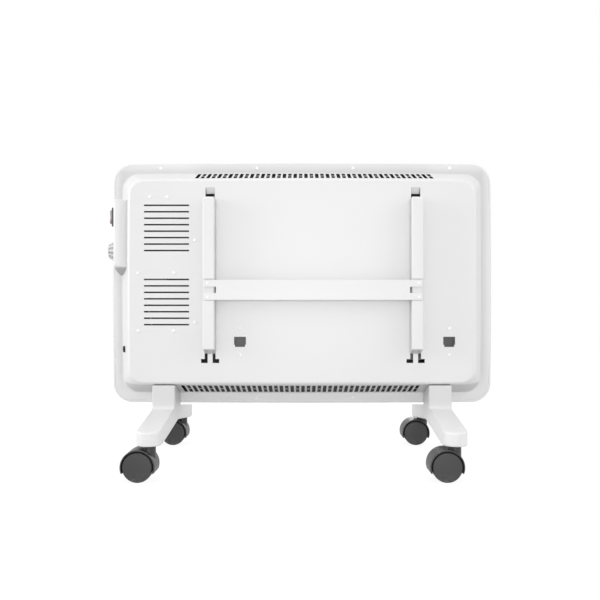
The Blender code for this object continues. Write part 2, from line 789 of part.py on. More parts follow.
def fixing_holes():
    """Cutters for the border's screws, the cord inlet and the foot screws."""
    bm = bmesh.new()
    for x, z in screw_places():
        start = (x, -CASING_SHEET - OVERRUN, z)
        add_rod(bm, start, (0, 1, 0), CASING_SHEET + 2 * OVERRUN, STUD_HOLE, SMALL_SIDES)
    place, normal = inlet_frame()
    hole = INLET_NECK_RADIUS + FIT
    add_rod(bm, place - normal * (CASING_SHEET + OVERRUN), normal, CASING_SHEET + 2 * OVERRUN, hole)
    for x in (-FOOT_SPACING / 2, FOOT_SPACING / 2):
        for share in FOOT_SCREW_DEPTH_SHARES.values():
            depth = share * CASING_DEPTH
            start = (x, depth, floor_z(depth, x) - OVERRUN)
            add_rod(bm, start, (0, 0, 1), CASING_SHEET + 2 * OVERRUN, FOOT_SCREW_RADIUS + FIT)
    return bm


def make_panel_screws(body):
    """Six domed screws that hold the casing's flange to the panel's lip."""
    bm = bmesh.new()
    add_turned(bm, dome_profile(SCREW_LENGTH, FIT), axis=(0, 1, 0), sides=SMALL_SIDES)
    mesh = mesh_of("panel_screw", bm, "white_paint")
    for index, (x, z) in enumerate(screw_places()):
        place_object(f"panel_screw_{index + 1}", mesh, body, (x, 0, z))


def stud_holes(places, depth):
    """Cutters for the studs' shanks, through a plate that ends at this depth."""
    bm = bmesh.new()
    for x, z in places:
        start = (x, depth - OVERRUN, z)
        add_rod(bm, start, (0, 1, 0), INNER_FACE - depth + 2 * OVERRUN, STUD_HOLE, SMALL_SIDES)
    return bm


def make_element_support(side, body):
    """A black block that holds one end of the element and fills its opening in the face."""
    x = SUPPORT_X_SHARES[side] * FACE_HALF_WIDTH
    plate = INNER_FACE - SUPPORT_PLATE
    tip = ELEMENT_DEPTH - SUPPORT_ARM
    outline = [
        (tip, -SUPPORT_ARM),
        (plate, -SUPPORT_ARM),
        (plate, -SUPPORT_PLATE_REACH),
        (INNER_FACE, -SUPPORT_PLATE_REACH),
        (INNER_FACE, SUPPORT_PLATE_REACH),
        (plate, SUPPORT_PLATE_REACH),
        (plate, SUPPORT_ARM),
        (tip, SUPPORT_ARM),
    ]
    left = x - SUPPORT_HALF_WIDTH
    bm = bmesh.new()
    add_prism(bm, [(left, y, SUPPORT_Z + up) for y, up in outline], (2 * SUPPORT_HALF_WIDTH, 0, 0))
    support = piece(f"element_support_{side}", bm, "black_moulding", body)
    face = CASING_DEPTH - SUPPORT_SINK
    bm = bmesh.new()
    add_prism(bm, [(px, plate, pz) for px, pz in support_outline(x, FIT)], (0, face - plate, 0))
    combine(support, f"support_end_{side}", bm, "UNION")
    bm = bmesh.new()
    floor = face - SUPPORT_RECESS
    outline = support_outline(x, FIT + SUPPORT_RIM)
    add_prism(bm, [(px, floor, pz) for px, pz in outline], (0, SUPPORT_RECESS + OVERRUN, 0))
    combine(support, f"support_recess_{side}", bm)
    places = [(x, SUPPORT_Z + way * SUPPORT_STUD_REACH) for way in (-1, 1)]
    combine(support, f"support_stud_holes_{side}", stud_holes(places, plate))
    bm = bmesh.new()
    start = (left - OVERRUN, ELEMENT_DEPTH, SUPPORT_Z)
    length = 2 * (SUPPORT_HALF_WIDTH + OVERRUN)
    add_rod(bm, start, (1, 0, 0), length, SHEATH_RADIUS + FIT)
    combine(support, f"support_bore_{side}", bm)


def fin_outline():
    """The element's section: a round hub with fins out to a flattened oval, as (y, z)."""
    points = []
    half_fin = ELEMENT_FIN / 2
    lean = math.asin(half_fin / ELEMENT_HUB)
    for index in range(ELEMENT_FIN_COUNT):
        angle = math.tau * (index + 0.5) / ELEMENT_FIN_COUNT
        along = Vector((math.cos(angle), math.sin(angle)))
        across = Vector((-along.y, along.x)) * half_fin
        reach = 1 / math.hypot(along.x * 2 / ELEMENT_THICKNESS, along.y * 2 / ELEMENT_HEIGHT)
        for way in (-1, 1):
            root = angle + way * lean
            foot = Vector((math.cos(root), math.sin(root))) * ELEMENT_HUB
            tip = along * reach + across * way
            points += [foot, tip] if way < 0 else [tip, foot]
    return points


def element_ends():
    """Where the element's supports end towards each other and away from each other."""
    xs = sorted(share * FACE_HALF_WIDTH for share in SUPPORT_X_SHARES.values())
    return xs[0], xs[1]


def make_element(body):
    """The finned aluminium body and the sheathed rod through it."""
    left, right = element_ends()
    start = left + SUPPORT_HALF_WIDTH + ELEMENT_SETBACK
    end = right - SUPPORT_HALF_WIDTH - ELEMENT_SETBACK
    outline = [(start, ELEMENT_DEPTH + y, SUPPORT_Z + z) for y, z in fin_outline()]
    bm = bmesh.new()
    add_prism(bm, outline, (end - start, 0, 0))
    fins = piece("element_fins", bm, "aluminium", body)
    bm = bmesh.new()
    place = (start - OVERRUN, ELEMENT_DEPTH, SUPPORT_Z)
    add_rod(bm, place, (1, 0, 0), end - start + 2 * OVERRUN, SHEATH_RADIUS + FIT)
    combine(fins, "element_bore", bm)
    shoulder = SUPPORT_HALF_WIDTH + SHEATH_END
    length = right - left + 2 * shoulder
    bm = bmesh.new()
    profile = (
        (0, -TERMINAL_LENGTH),
        (TERMINAL_RADIUS, -TERMINAL_LENGTH),
        (TERMINAL_RADIUS, 0),
        (SHEATH_RADIUS, 0),
        (SHEATH_RADIUS, length),
        (TERMINAL_RADIUS, length),
        (TERMINAL_RADIUS, length + TERMINAL_LENGTH),
        (0, length + TERMINAL_LENGTH),
    )
    add_turned(bm, profile, axis=(1, 0, 0))
    place = (left - shoulder, ELEMENT_DEPTH, SUPPORT_Z)
    piece("element_sheath", bm, "heat_sheath", body, place)


def make_partition(body):
    """The sheet between the hot side and the electrics, with two tabs on the rear face."""
    bottom, top = (share * FACE_HALF_HEIGHT for share in (PARTITION_BOTTOM_SHARE, PARTITION_TOP_SHARE))
    front = PANEL_SHEET + PARTITION_CLEARANCE - PANEL_DEPTH
    bm = bmesh.new()
    add_box(bm, (PARTITION_X, front, bottom), (PARTITION_X + PARTITION_SHEET, INNER_FACE, top))
    partition = piece("compartment_partition", bm, "zinc_plate", body)
    places = [(PARTITION_STUD_X, share * FACE_HALF_HEIGHT) for share in PARTITION_STUD_SHARES]
    tab_back = INNER_FACE - PARTITION_SHEET
    bm = bmesh.new()
    for _, z in places:
        low = (PARTITION_X, tab_back, z - PARTITION_TAB_RISE)
        add_box(bm, low, (PARTITION_X + PARTITION_TAB, INNER_FACE, z + PARTITION_TAB_RISE))
    combine(partition, "partition_tabs", bm, "UNION")
    combine(partition, "partition_stud_holes", stud_holes(places, tab_back))
    bm = bmesh.new()
    half = WINDOW_SIZE / 2
    for share in WINDOW_Z_SHARES:
        z = share * FACE_HALF_HEIGHT
        low = (PARTITION_X - OVERRUN, ELEMENT_DEPTH - half, z - half)
        high = (PARTITION_X + PARTITION_SHEET + OVERRUN, ELEMENT_DEPTH + half, z + half)
        add_box(bm, low, high)
    combine(partition, "partition_windows", bm)


def make_carrier(name, body):
    """A part of the electrics: a plate on two studs of the rear face, and the body on it."""
    x, z = on_face(*CARRIER_SHARES[name])
    width, depth, height = CARRIER_BODIES[name]
    half_plate = CARRIER_SPANS[name] / 2 + CARRIER_MARGIN
    plate = INNER_FACE - CARRIER_PLATE
    bm = bmesh.new()
    add_box(
        bm,
        (x - half_plate, plate, z - CARRIER_HEIGHT / 2),
        (x + half_plate, INNER_FACE, z + CARRIER_HEIGHT / 2),
    )
    carrier = piece(name, bm, "black_moulding", body)
    bm = bmesh.new()
    low = (x - width / 2, plate - depth, z - height / 2)
    add_box(bm, low, (x + width / 2, plate + CARRIER_PLATE / 2, z + height / 2))
    combine(carrier, f"{name}_body", bm, "UNION")
    combine(carrier, f"{name}_stud_holes", stud_holes(carrier_studs(name), plate))


def make_cutout(body):
    """The thermal cut-out: a disc on the hot side of the partition."""
    bm = bmesh.new()
    profile = (
        (0, 0),
        (CUTOUT_RADIUS, 0),
        (CUTOUT_RADIUS, CUTOUT_THICKNESS),
        (CUTOUT_BUTTON_RADIUS, CUTOUT_THICKNESS),
        (CUTOUT_BUTTON_RADIUS, CUTOUT_THICKNESS + CUTOUT_BUTTON_RISE),
        (0, CUTOUT_THICKNESS + CUTOUT_BUTTON_RISE),
    )
    add_turned(bm, profile, axis=(-1, 0, 0))
    place = (PARTITION_X - FIT, ELEMENT_DEPTH, CUTOUT_Z_SHARE * FACE_HALF_HEIGHT)
    piece("thermal_cutout", bm, "zinc_plate", body, place)


def make_control_box(body):
    """The moulded cover on the right wall that carries the switch and the thermostat."""
    plan = [
        (BOX_SIDE - BOX_FOOT, FIT),
        (BOX_SIDE, FIT),
        (BOX_SIDE, BOX_DEPTH),
        (wall_x(BOX_DEPTH) + FIT, BOX_DEPTH),
        (wall_x(BOX_TOE) + FIT, BOX_TOE),
    ]
    bm = bmesh.new()
    add_prism(bm, [(x, y, BOX_BOTTOM) for x, y in plan], (0, 0, BOX_TOP - BOX_BOTTOM))
    middle = (BOX_TOP + BOX_BOTTOM) / 2
    for vert in bm.verts:
        if vert.co.z < middle:
            vert.co.z -= BOX_SLANT * (1 - vert.co.y / BOX_DEPTH)
    bm.edges.ensure_lookup_table()
    outer = [edge for edge in bm.edges if is_outer_box_edge(edge)]
    bmesh.ops.bevel(bm, geom=outer, offset=BOX_ROUND, segments=BEND_STEPS, profile=0.5, affect="EDGES")
    box = piece("control_box", bm, "white_moulding", body)
    bm = bmesh.new()
    low = (wall_x(BOX_DEPTH) - OVERRUN, BOX_TOE, BOX_BOTTOM + BOX_WALL)
    add_box(bm, low, (BOX_SIDE - BOX_WALL, BOX_DEPTH - BOX_WALL, BOX_TOP - BOX_WALL))
    combine(box, "box_cavity", bm)
    bm = bmesh.new()
    half_length = SWITCH_LENGTH / 2 - SWITCH_BODY_MARGIN + FIT
    half_width = SWITCH_WIDTH / 2 - SWITCH_BODY_MARGIN + FIT
    low = (BOX_SIDE - BOX_WALL - OVERRUN, BOX_MIDDLE - half_width, SWITCH_Z - half_length)
    add_box(bm, low, (BOX_SIDE + OVERRUN, BOX_MIDDLE + half_width, SWITCH_Z + half_length))
    start = (BOX_SIDE - BOX_WALL - OVERRUN, BOX_MIDDLE, KNOB_Z)
    add_rod(bm, start, (1, 0, 0), BOX_WALL + 2 * OVERRUN, BUSH_RADIUS + FIT)
    combine(box, "box_openings", bm)


def is_outer_box_edge(edge):
    """Whether an edge of the control box's prism is one of the five that are rounded."""
    first, second = (vert.co for vert in edge.verts)
    outside = [abs(point.x - BOX_SIDE) < FIT for point in (first, second)]
    behind = [abs(point.y - BOX_DEPTH) < FIT for point in (first, second)]
    upright = abs(first.x - second.x) < FIT and abs(first.y - second.y) < FIT
    if upright:
        return all(outside) and all(behind)
    return all(outside) or all(behind)


def make_switch(body):
    """The rocker switch: its frame and body, and the rocker on its pivot."""
    half_length, half_width = SWITCH_LENGTH / 2, SWITCH_WIDTH / 2
    bm = bmesh.new()
    low = (BOX_SIDE + FIT, BOX_MIDDLE - half_width, SWITCH_Z - half_length)
    add_box(bm, low, (SWITCH_FACE, BOX_MIDDLE + half_width, SWITCH_Z + half_length))
    switch = piece("switch_body", bm, "black_moulding", body)
    inner_length, inner_width = (size - SWITCH_BODY_MARGIN for size in (half_length, half_width))
    bm = bmesh.new()
    low = (BOX_SIDE - SWITCH_BODY_DEPTH, BOX_MIDDLE - inner_width, SWITCH_Z - inner_length)
    high = (SWITCH_FACE - SWITCH_FLANGE / 2, BOX_MIDDLE + inner_width, SWITCH_Z + inner_length)
    add_box(bm, low, high)
    combine(switch, "switch_back", bm, "UNION")
    pocket_length, pocket_width = (size - SWITCH_RIM for size in (half_length, half_width))
    bm = bmesh.new()
    low = (SWITCH_FACE - SWITCH_POCKET, BOX_MIDDLE - pocket_width, SWITCH_Z - pocket_length)
    add_box(bm, low, (SWITCH_FACE + OVERRUN, BOX_MIDDLE + pocket_width, SWITCH_Z + pocket_length))
    combine(switch, "switch_pocket", bm)
    pivot = Vector((SWITCH_FACE - ROCKER_PIVOT_SINK, BOX_MIDDLE, SWITCH_Z))
    half_pin = ROCKER_HALF_WIDTH + ROCKER_PIN_LENGTH
    bm = bmesh.new()
    reach = half_pin + FIT
    add_rod(bm, pivot - Vector((0, reach, 0)), (0, 1, 0), 2 * reach, ROCKER_PIN_RADIUS + FIT, SMALL_SIDES)
    combine(switch, "switch_pivot_holes", bm)
    shoulder, crest = ROCKER_PIVOT_SINK, ROCKER_PIVOT_SINK + ROCKER_RISE
    half_crest = ROCKER_HALF_LENGTH * ROCKER_CREST_SHARE
    outline = [
        (-ROCKER_BELOW_PIVOT, -ROCKER_HALF_LENGTH),
        (shoulder, -ROCKER_HALF_LENGTH),
        (crest, -half_crest),
        (crest - ROCKER_DISH, 0),
        (crest, half_crest),
        (shoulder, ROCKER_HALF_LENGTH),
        (-ROCKER_BELOW_PIVOT, ROCKER_HALF_LENGTH),
    ]
    bm = bmesh.new()
    points = [(x, -ROCKER_HALF_WIDTH, z) for x, z in outline]
    add_prism(bm, points, (0, 2 * ROCKER_HALF_WIDTH, 0))
    rocker = piece("switch_rocker", bm, "rocker_moulding", body, pivot)
    bm = bmesh.new()
    add_rod(bm, (0, -half_pin, 0), (0, 1, 0), 2 * half_pin, ROCKER_PIN_RADIUS, SMALL_SIDES)
    combine(rocker, "rocker_pins", bm, "UNION")


def make_thermostat(body):
    """The thermostat behind the box's side, its shaft, and the knob on the shaft."""
    half = THERMOSTAT_SIZE / 2
    bm = bmesh.new()
    low = (BOX_INSIDE - THERMOSTAT_DEPTH, BOX_MIDDLE - half, KNOB_Z - half)
    add_box(bm, low, (BOX_INSIDE, BOX_MIDDLE + half, KNOB_Z + half))
    thermostat = piece("thermostat_body", bm, "black_moulding", body)
    mouth = BOX_SIDE + BUSH_PROUD
    start = (BOX_INSIDE - THERMOSTAT_DEPTH / 2, BOX_MIDDLE, KNOB_Z)
    bm = bmesh.new()
    add_rod(bm, start, (1, 0, 0), mouth - start[0], BUSH_RADIUS)
    combine(thermostat, "thermostat_bush", bm, "UNION")
    bm = bmesh.new()
    start = (mouth - THERMOSTAT_SOCKET, BOX_MIDDLE, KNOB_Z)
    add_rod(bm, start, (1, 0, 0), THERMOSTAT_SOCKET + OVERRUN, SHAFT_RADIUS + FIT)
    combine(thermostat, "thermostat_socket", bm)
    shaft_start = mouth - THERMOSTAT_SOCKET + FIT
    shaft_end = KNOB_BACK + KNOB_RECESS + KNOB_BORE - FIT
    bm = bmesh.new()
    add_rod(bm, (shaft_start - KNOB_BACK, 0, 0), (1, 0, 0), shaft_end - shaft_start, SHAFT_RADIUS)
    place = (KNOB_BACK, BOX_MIDDLE, KNOB_Z)
    piece("thermostat_shaft", bm, "zinc_plate", body, place)
    hole = SHAFT_RADIUS + FIT
    profile = (
        (0, KNOB_RECESS + KNOB_BORE),
        (hole, KNOB_RECESS + KNOB_BORE),
        (hole, KNOB_RECESS),
        (KNOB_RECESS_RADIUS, KNOB_RECESS),
        (KNOB_RECESS_RADIUS, 0),
        (KNOB_RADIUS, 0),
        (KNOB_RADIUS, KNOB_SKIRT - KNOB_EDGE),
        (KNOB_RADIUS - KNOB_EDGE, KNOB_SKIRT),
        (KNOB_GRIP_RADIUS, KNOB_SKIRT),
        (KNOB_GRIP_RADIUS * KNOB_GRIP_TOP_SHARE, KNOB_HEIGHT - KNOB_EDGE),
        (KNOB_GRIP_RADIUS * KNOB_GRIP_TOP_SHARE - KNOB_EDGE, KNOB_HEIGHT),
        (0, KNOB_HEIGHT),
    )
    bm = bmesh.new()
    add_turned(bm, profile, axis=(1, 0, 0), sides=KNOB_SIDES)
    piece("thermostat_knob", bm, "grey_moulding", body, place)


def make_cord_inlet(body):
    """The grommet of the cord inlet, square to the right wall."""
    place, normal = inlet_frame()
    bm = bmesh.new()
    profile = (
        (0, -INLET_NECK),
        (INLET_NECK_RADIUS, -INLET_NECK),
        (INLET_NECK_RADIUS, FIT),
        (INLET_RADIUS, FIT),
        (INLET_RADIUS, INLET_LIP / 2),
        (INLET_NECK_RADIUS, INLET_LIP),
        (INLET_BORE_RADIUS, INLET_LIP),
        (INLET_BORE_RADIUS, INLET_LIP - INLET_BORE_DEPTH),
        (0, INLET_LIP - INLET_BORE_DEPTH),
    )
    add_turned(bm, profile, axis=normal)
    piece("cord_inlet", bm, "black_moulding", body, place)


def make_bracket_channel(side, body):
    """An upright channel of the wall bracket, with its hook and its two latch prongs."""
    x = CHANNEL_X_SHARES[side] * FACE_HALF_WIDTH
    recess = CHANNEL_FRONT - STRIP_RECESS
    low, high = STRIP_Z - RECESS_HALF_HEIGHT, STRIP_Z + RECESS_HALF_HEIGHT
    outer = [
        Vector((CHANNEL_BACK, CHANNEL_FOOT)),
        Vector((CHANNEL_FRONT, CHANNEL_BOTTOM)),
        Vector((CHANNEL_FRONT, low)),
        Vector((recess, low)),
        Vector((recess, high)),
        Vector((CHANNEL_FRONT, high)),
        Vector((CHANNEL_FRONT, CHANNEL_TOP - CHANNEL_NOSE)),
        Vector((CHANNEL_FRONT - CHANNEL_NOSE, CHANNEL_TOP)),
        Vector((CHANNEL_BACK, CHANNEL_TOP)),
    ]
    inner = offset_path(outer, -CHANNEL_SHEET)
    mouth = CHANNEL_BACK - OVERRUN
    first, last = inner[0], inner[-1]
    inner = [Vector((mouth, first.y)), *inner, Vector((mouth, last.y))]
    left = x - CHANNEL_WIDTH / 2
    bm = bmesh.new()
    add_prism(bm, [(left, y, z) for y, z in outer], (CHANNEL_WIDTH, 0, 0))
    channel = piece(f"bracket_channel_{side}", bm, "white_paint", body)
    bm = bmesh.new()
    hollow = CHANNEL_WIDTH - 2 * CHANNEL_SHEET
    add_prism(bm, [(left + CHANNEL_SHEET, y, z) for y, z in inner], (hollow, 0, 0))
    combine(channel, f"channel_hollow_{side}", bm)
    combine(channel, f"channel_hook_{side}", hook_shape(x), "UNION")
    combine(channel, f"channel_prongs_{side}", prong_shapes(x), "UNION")
    bm = bmesh.new()
    for place in rivet_places(side):
        start = (place[0], recess - CHANNEL_SHEET - OVERRUN, place[1])
        length = CHANNEL_SHEET + 2 * OVERRUN
        add_rod(bm, start, (0, 1, 0), length, RIVET_RADIUS + FIT, SMALL_SIDES)
    combine(channel, f"channel_rivet_holes_{side}", bm)


def hook_shape(x):
    """The tongue through the hook opening, turned up behind the casing's face."""
    inside = INNER_FACE - CHANNEL_SHEET
    bottom = CHANNEL_TOP - CHANNEL_SHEET
    root = CHANNEL_BACK + CHANNEL_SHEET
    outline = [
        (root, bottom),
        (root, CHANNEL_TOP - FIT),
        (INNER_FACE, CHANNEL_TOP - FIT),
        (INNER_FACE, CHANNEL_TOP + HOOK_TIP),
        (inside, CHANNEL_TOP + HOOK_TIP),
        (inside, bottom),
    ]
    bm = bmesh.new()
    left = x - HOOK_WIDTH / 2
    add_prism(bm, [(left, y, z) for y, z in outline], (HOOK_WIDTH, 0, 0))
    return bm


def prong_shapes(x):
    """The two prongs that reach from the channel's foot through the latch slots."""
    bm = bmesh.new()
    bottom = CHANNEL_FOOT + FIT
    for side in (-1, 1):
        near = side * (LATCH_INNER + LATCH_CLEARANCE)
        far = near + side * PRONG_WIDTH
        left, right = sorted((near, far))
        low = (x + left, CASING_DEPTH - PRONG_REACH, bottom)
        add_box(bm, low, (x + right, CHANNEL_BACK + CHANNEL_SHEET, bottom + PRONG_HEIGHT))
    return bm


def rivet_places(side):
    """Where the cross strip is riveted to a channel."""
    share = CHANNEL_X_SHARES[side]
    outward = RIVET_SHIFT if share > 0 else -RIVET_SHIFT
    x = share * FACE_HALF_WIDTH + outward
    return [(x, STRIP_Z - RIVET_SPACING / 2), (x, STRIP_Z + RIVET_SPACING / 2)]


def make_cross_strip(body):
    """The strip between the channels: forked ends, upset on its four rivets."""
    right, left = (CHANNEL_X_SHARES[side] * FACE_HALF_WIDTH for side in ("right", "left"))
    half = STRIP_HEIGHT / 2
    fork = STRIP_FORK_HEIGHT / 2
    reach = CHANNEL_WIDTH / 2 + STRIP_FORK_REACH
    outline = [
        (right + STRIP_LAP, half),
        (left - STRIP_LAP, half),
        (left - STRIP_LAP, fork),
        (left + reach, fork),
        (left + reach, -fork),
        (left - STRIP_LAP, -fork),
        (left - STRIP_LAP, -half),
        (right + STRIP_LAP, -half),
        (right + STRIP_LAP, -fork),
        (right - reach, -fork),
        (right - reach, fork),
        (right + STRIP_LAP, fork),
    ]
    bm = bmesh.new()
    add_prism(bm, [(x, STRIP_BACK, STRIP_Z + z) for x, z in outline], (0, STRIP_SHEET, 0))
    strip = piece("bracket_cross_strip", bm, "white_paint", body)
    sheet_back = CHANNEL_FRONT - STRIP_RECESS - CHANNEL_SHEET - STRIP_BACK - FIT
    profile = (
        (0, sheet_back - RIVET_TAIL),
        (RIVET_HEAD_RADIUS, sheet_back - RIVET_TAIL),
        (RIVET_HEAD_RADIUS, sheet_back),
        (RIVET_RADIUS, sheet_back),
        (RIVET_RADIUS, STRIP_SHEET / 2),
        (RIVET_HEAD_RADIUS, STRIP_SHEET / 2),
        (RIVET_HEAD_RADIUS, STRIP_SHEET + RIVET_HEAD_RISE / 2),
        (RIVET_RADIUS, STRIP_SHEET + RIVET_HEAD_RISE),
        (0, STRIP_SHEET + RIVET_HEAD_RISE),
    )
    bm = bmesh.new()
    for x, z in rivet_places("right") + rivet_places("left"):
        add_turned(bm, profile, (x, STRIP_BACK, z), (0, 1, 0), SMALL_SIDES)
    combine(strip, "strip_rivets", bm, "UNION")


def foot_outline(x):
    """The side of a foot, as (y, z) in the world: an arched beam with the stem on it."""
    end = WHEELBASE / 2 + BEAM_END_MARGIN
    pad = WHEELBASE / 2 - BEAM_PAD
    front = FLANGE_Y + FIT
    rear = FLANGE_Y + CASING_DEPTH
    shoulder = rear - STEM_SHOULDER
    top_front = PANEL_CENTRE_Z + floor_z(FIT, x) - FIT
    slope = TOP_DRAFT / CASING_DEPTH
    top_rear = top_front + slope * (shoulder - front)
    return [
        (-end, BEAM_UNDERSIDE),
        (-pad, BEAM_UNDERSIDE),
        (0, ARCH_CROWN),
        (pad, BEAM_UNDERSIDE),
        (end, BEAM_UNDERSIDE),
        (end, BEAM_END_TOP),
        (rear, BEAM_CROWN),
        (rear, top_rear),
        (shoulder, top_rear),
        (front + STEM_CHAMFER, top_front + slope * STEM_CHAMFER),
        (front, top_front - STEM_CHAMFER),
        (front, BEAM_CROWN),
        (-end, BEAM_END_TOP),
    ]


def foot_screw_head(depth, x):
    """The height of a foot screw's head, under the grip that the screw clamps."""
    return PANEL_CENTRE_Z + floor_z(depth, x) - FOOT_SCREW_GRIP


def make_foot(side, frame, x):
    """A foot: its ends are rounded about the castors' stems."""
    left = -FOOT_WIDTH / 2
    bm = bmesh.new()
    add_prism(bm, [(left, y, z) for y, z in foot_outline(x)], (FOOT_WIDTH, 0, 0))
    end = WHEELBASE / 2 + BEAM_END_MARGIN
    corners = []
    for edge in bm.edges:
        first, second = (vert.co for vert in edge.verts)
        upright = abs(first.x - second.x) < FIT and abs(first.y - second.y) < FIT
        if upright and abs(abs(first.y) - end) < FIT:
            corners.append(edge)
    radius = FOOT_WIDTH / 2 - FIT
    bmesh.ops.bevel(bm, geom=corners, offset=radius, segments=CORNER_STEPS, profile=0.5, affect="EDGES")
    foot = piece(f"foot_{side}", bm, "white_moulding", frame)
    soften = foot.modifiers.new("soften", "BEVEL")
    soften.width = FOOT_SOFTEN
    soften.segments = 1
    soften.limit_method = "ANGLE"
    soften.angle_limit = SMOOTH_ANGLE
    bm = bmesh.new()
    for way in (-1, 1):
        start = (0, way * WHEELBASE / 2, BEAM_UNDERSIDE - OVERRUN)
        add_rod(bm, start, (0, 0, 1), OVERRUN + STEM_RISE + FIT, STEM_RADIUS + FIT)
    for share in FOOT_SCREW_DEPTH_SHARES.values():
        depth = share * CASING_DEPTH
        y = FLANGE_Y + depth
        seat = foot_screw_head(depth, x)
        top = seat + FOOT_SCREW_GRIP + OVERRUN
        profile = (
            (0, 0),
            (FOOT_SCREW_HEAD_RADIUS + FIT, 0),
            (FOOT_SCREW_HEAD_RADIUS + FIT, seat + FIT),
            (FOOT_SCREW_RADIUS + FIT, seat + FIT),
            (FOOT_SCREW_RADIUS + FIT, top),
            (0, top),
        )
        add_turned(bm, profile, (0, y, 0))
    combine(foot, f"foot_bores_{side}", bm)


def make_foot_screws(side, frame, x):
    """The two screws that go up through a foot into the casing's bottom wall."""
    for end, share in FOOT_SCREW_DEPTH_SHARES.items():
        depth = share * CASING_DEPTH
        bm = bmesh.new()
        profile = (
            (0, -FOOT_SCREW_HEAD),
            (FOOT_SCREW_HEAD_RADIUS, -FOOT_SCREW_HEAD),
            (FOOT_SCREW_HEAD_RADIUS, 0),
            (FOOT_SCREW_RADIUS, 0),
            (FOOT_SCREW_RADIUS, FOOT_SCREW_GRIP + FOOT_SCREW_BITE),
            (0, FOOT_SCREW_GRIP + FOOT_SCREW_BITE),
        )
        add_turned(bm, profile)
        place = (0, FLANGE_Y + depth, foot_screw_head(depth, x))
        piece(f"foot_screw_{side}_{end}", bm, "zinc_plate", frame, place)


def castor_hood_mesh():
    """The hood: a drum over both wheels on a middle web, with the boss for the stem."""
    bm = bmesh.new()
    start = (CASTOR_TRAIL, -HOOD_WIDTH / 2, WHEEL_RADIUS)
    add_rod(bm, start, (0, 1, 0), HOOD_WIDTH, HOOD_RADIUS, HOOD_SIDES)
    return mesh_of("castor_hood", bm, "castor_moulding")


def hood_boss():
    """The upright boss that the stem is pressed into."""
    bm = bmesh.new()
    bottom = WHEEL_RADIUS + BOSS_ROOT
    add_rod(bm, (0, 0, bottom), (0, 0, 1), BOSS_TOP - bottom, BOSS_RADIUS)
    return bm


def hood_hollows():
    """Cutters for the wheel spaces on both sides of the web, and below the hood's lower edge."""
    bm = bmesh.new()
    length = (HOOD_WIDTH - HOOD_WEB) / 2 + OVERRUN
    for way in (-1, 1):
        start = (CASTOR_TRAIL, way * HOOD_WEB / 2, WHEEL_RADIUS)
        add_rod(bm, start, (0, way, 0), length, HOOD_RADIUS - HOOD_SHELL, HOOD_SIDES)
    return bm


def hood_underside():
    """The cutter below the hood's lower edge."""
    bm = bmesh.new()
    reach = HOOD_RADIUS + OVERRUN
    low = (CASTOR_TRAIL - reach, -HOOD_WIDTH, -reach)
    add_box(bm, low, (CASTOR_TRAIL + reach, HOOD_WIDTH, WHEEL_RADIUS - HOOD_DROP))
    return bm


def hood_bores():
    """Cutters for the stem's seat and the axle."""
    bm = bmesh.new()
    seat = BOSS_TOP - STEM_SEAT
    add_rod(bm, (0, 0, seat), (0, 0, 1), STEM_SEAT + OVERRUN, STEM_RADIUS + FIT)
    start = (CASTOR_TRAIL, -HOOD_WEB, WHEEL_RADIUS)
    add_rod(bm, start, (0, 1, 0), 2 * HOOD_WEB, AXLE_RADIUS + FIT, SMALL_SIDES)
    return bm


def castor_stem_mesh():
    """The steel stem: pressed into the boss, with a collar, free to turn in the foot."""
    bm = bmesh.new()
    profile = (
        (0, BOSS_TOP - STEM_SEAT + FIT),
        (STEM_RADIUS, BOSS_TOP - STEM_SEAT + FIT),
        (STEM_RADIUS, COLLAR_TOP - COLLAR_HEIGHT),
        (COLLAR_RADIUS, COLLAR_TOP - COLLAR_HEIGHT),
        (COLLAR_RADIUS, COLLAR_TOP),
        (STEM_RADIUS, COLLAR_TOP),
        (STEM_RADIUS, BEAM_UNDERSIDE + STEM_RISE - FIT),
        (0, BEAM_UNDERSIDE + STEM_RISE - FIT),
    )
    add_turned(bm, profile)
    return mesh_of("castor_stem", bm, "zinc_plate")


def castor_axle_mesh():
    """The axle through the web and both wheels."""
    half = CASTOR_WIDTH / 2 - AXLE_SETBACK
    bm = bmesh.new()
    add_rod(bm, (0, -half, 0), (0, 1, 0), 2 * half, AXLE_RADIUS, SMALL_SIDES)
    return mesh_of("castor_axle", bm, "zinc_plate")


def castor_wheel_mesh(way):
    """A wheel on one side of the web: it stands on a side of its tread, whose corners lie outside."""
    tread = WHEEL_RADIUS / math.cos(math.pi / WHEEL_SIDES)
    inside = HOOD_WEB / 2 + FIT
    outside = CASTOR_WIDTH / 2
    hole = AXLE_RADIUS + FIT
    profile = (
        (0, outside - AXLE_SETBACK + FIT),
        (hole, outside - AXLE_SETBACK + FIT),
        (hole, inside),
        (tread - WHEEL_CHAMFER, inside),
        (tread, inside + WHEEL_CHAMFER),
        (tread, outside - WHEEL_CHAMFER),
        (WHEEL_DISC_RADIUS, outside),
        (0, outside),
    )
    bm = bmesh.new()
    add_turned(bm, profile, axis=(0, way, 0), sides=WHEEL_SIDES)
    return mesh_of("castor_wheel", bm, "castor_moulding")


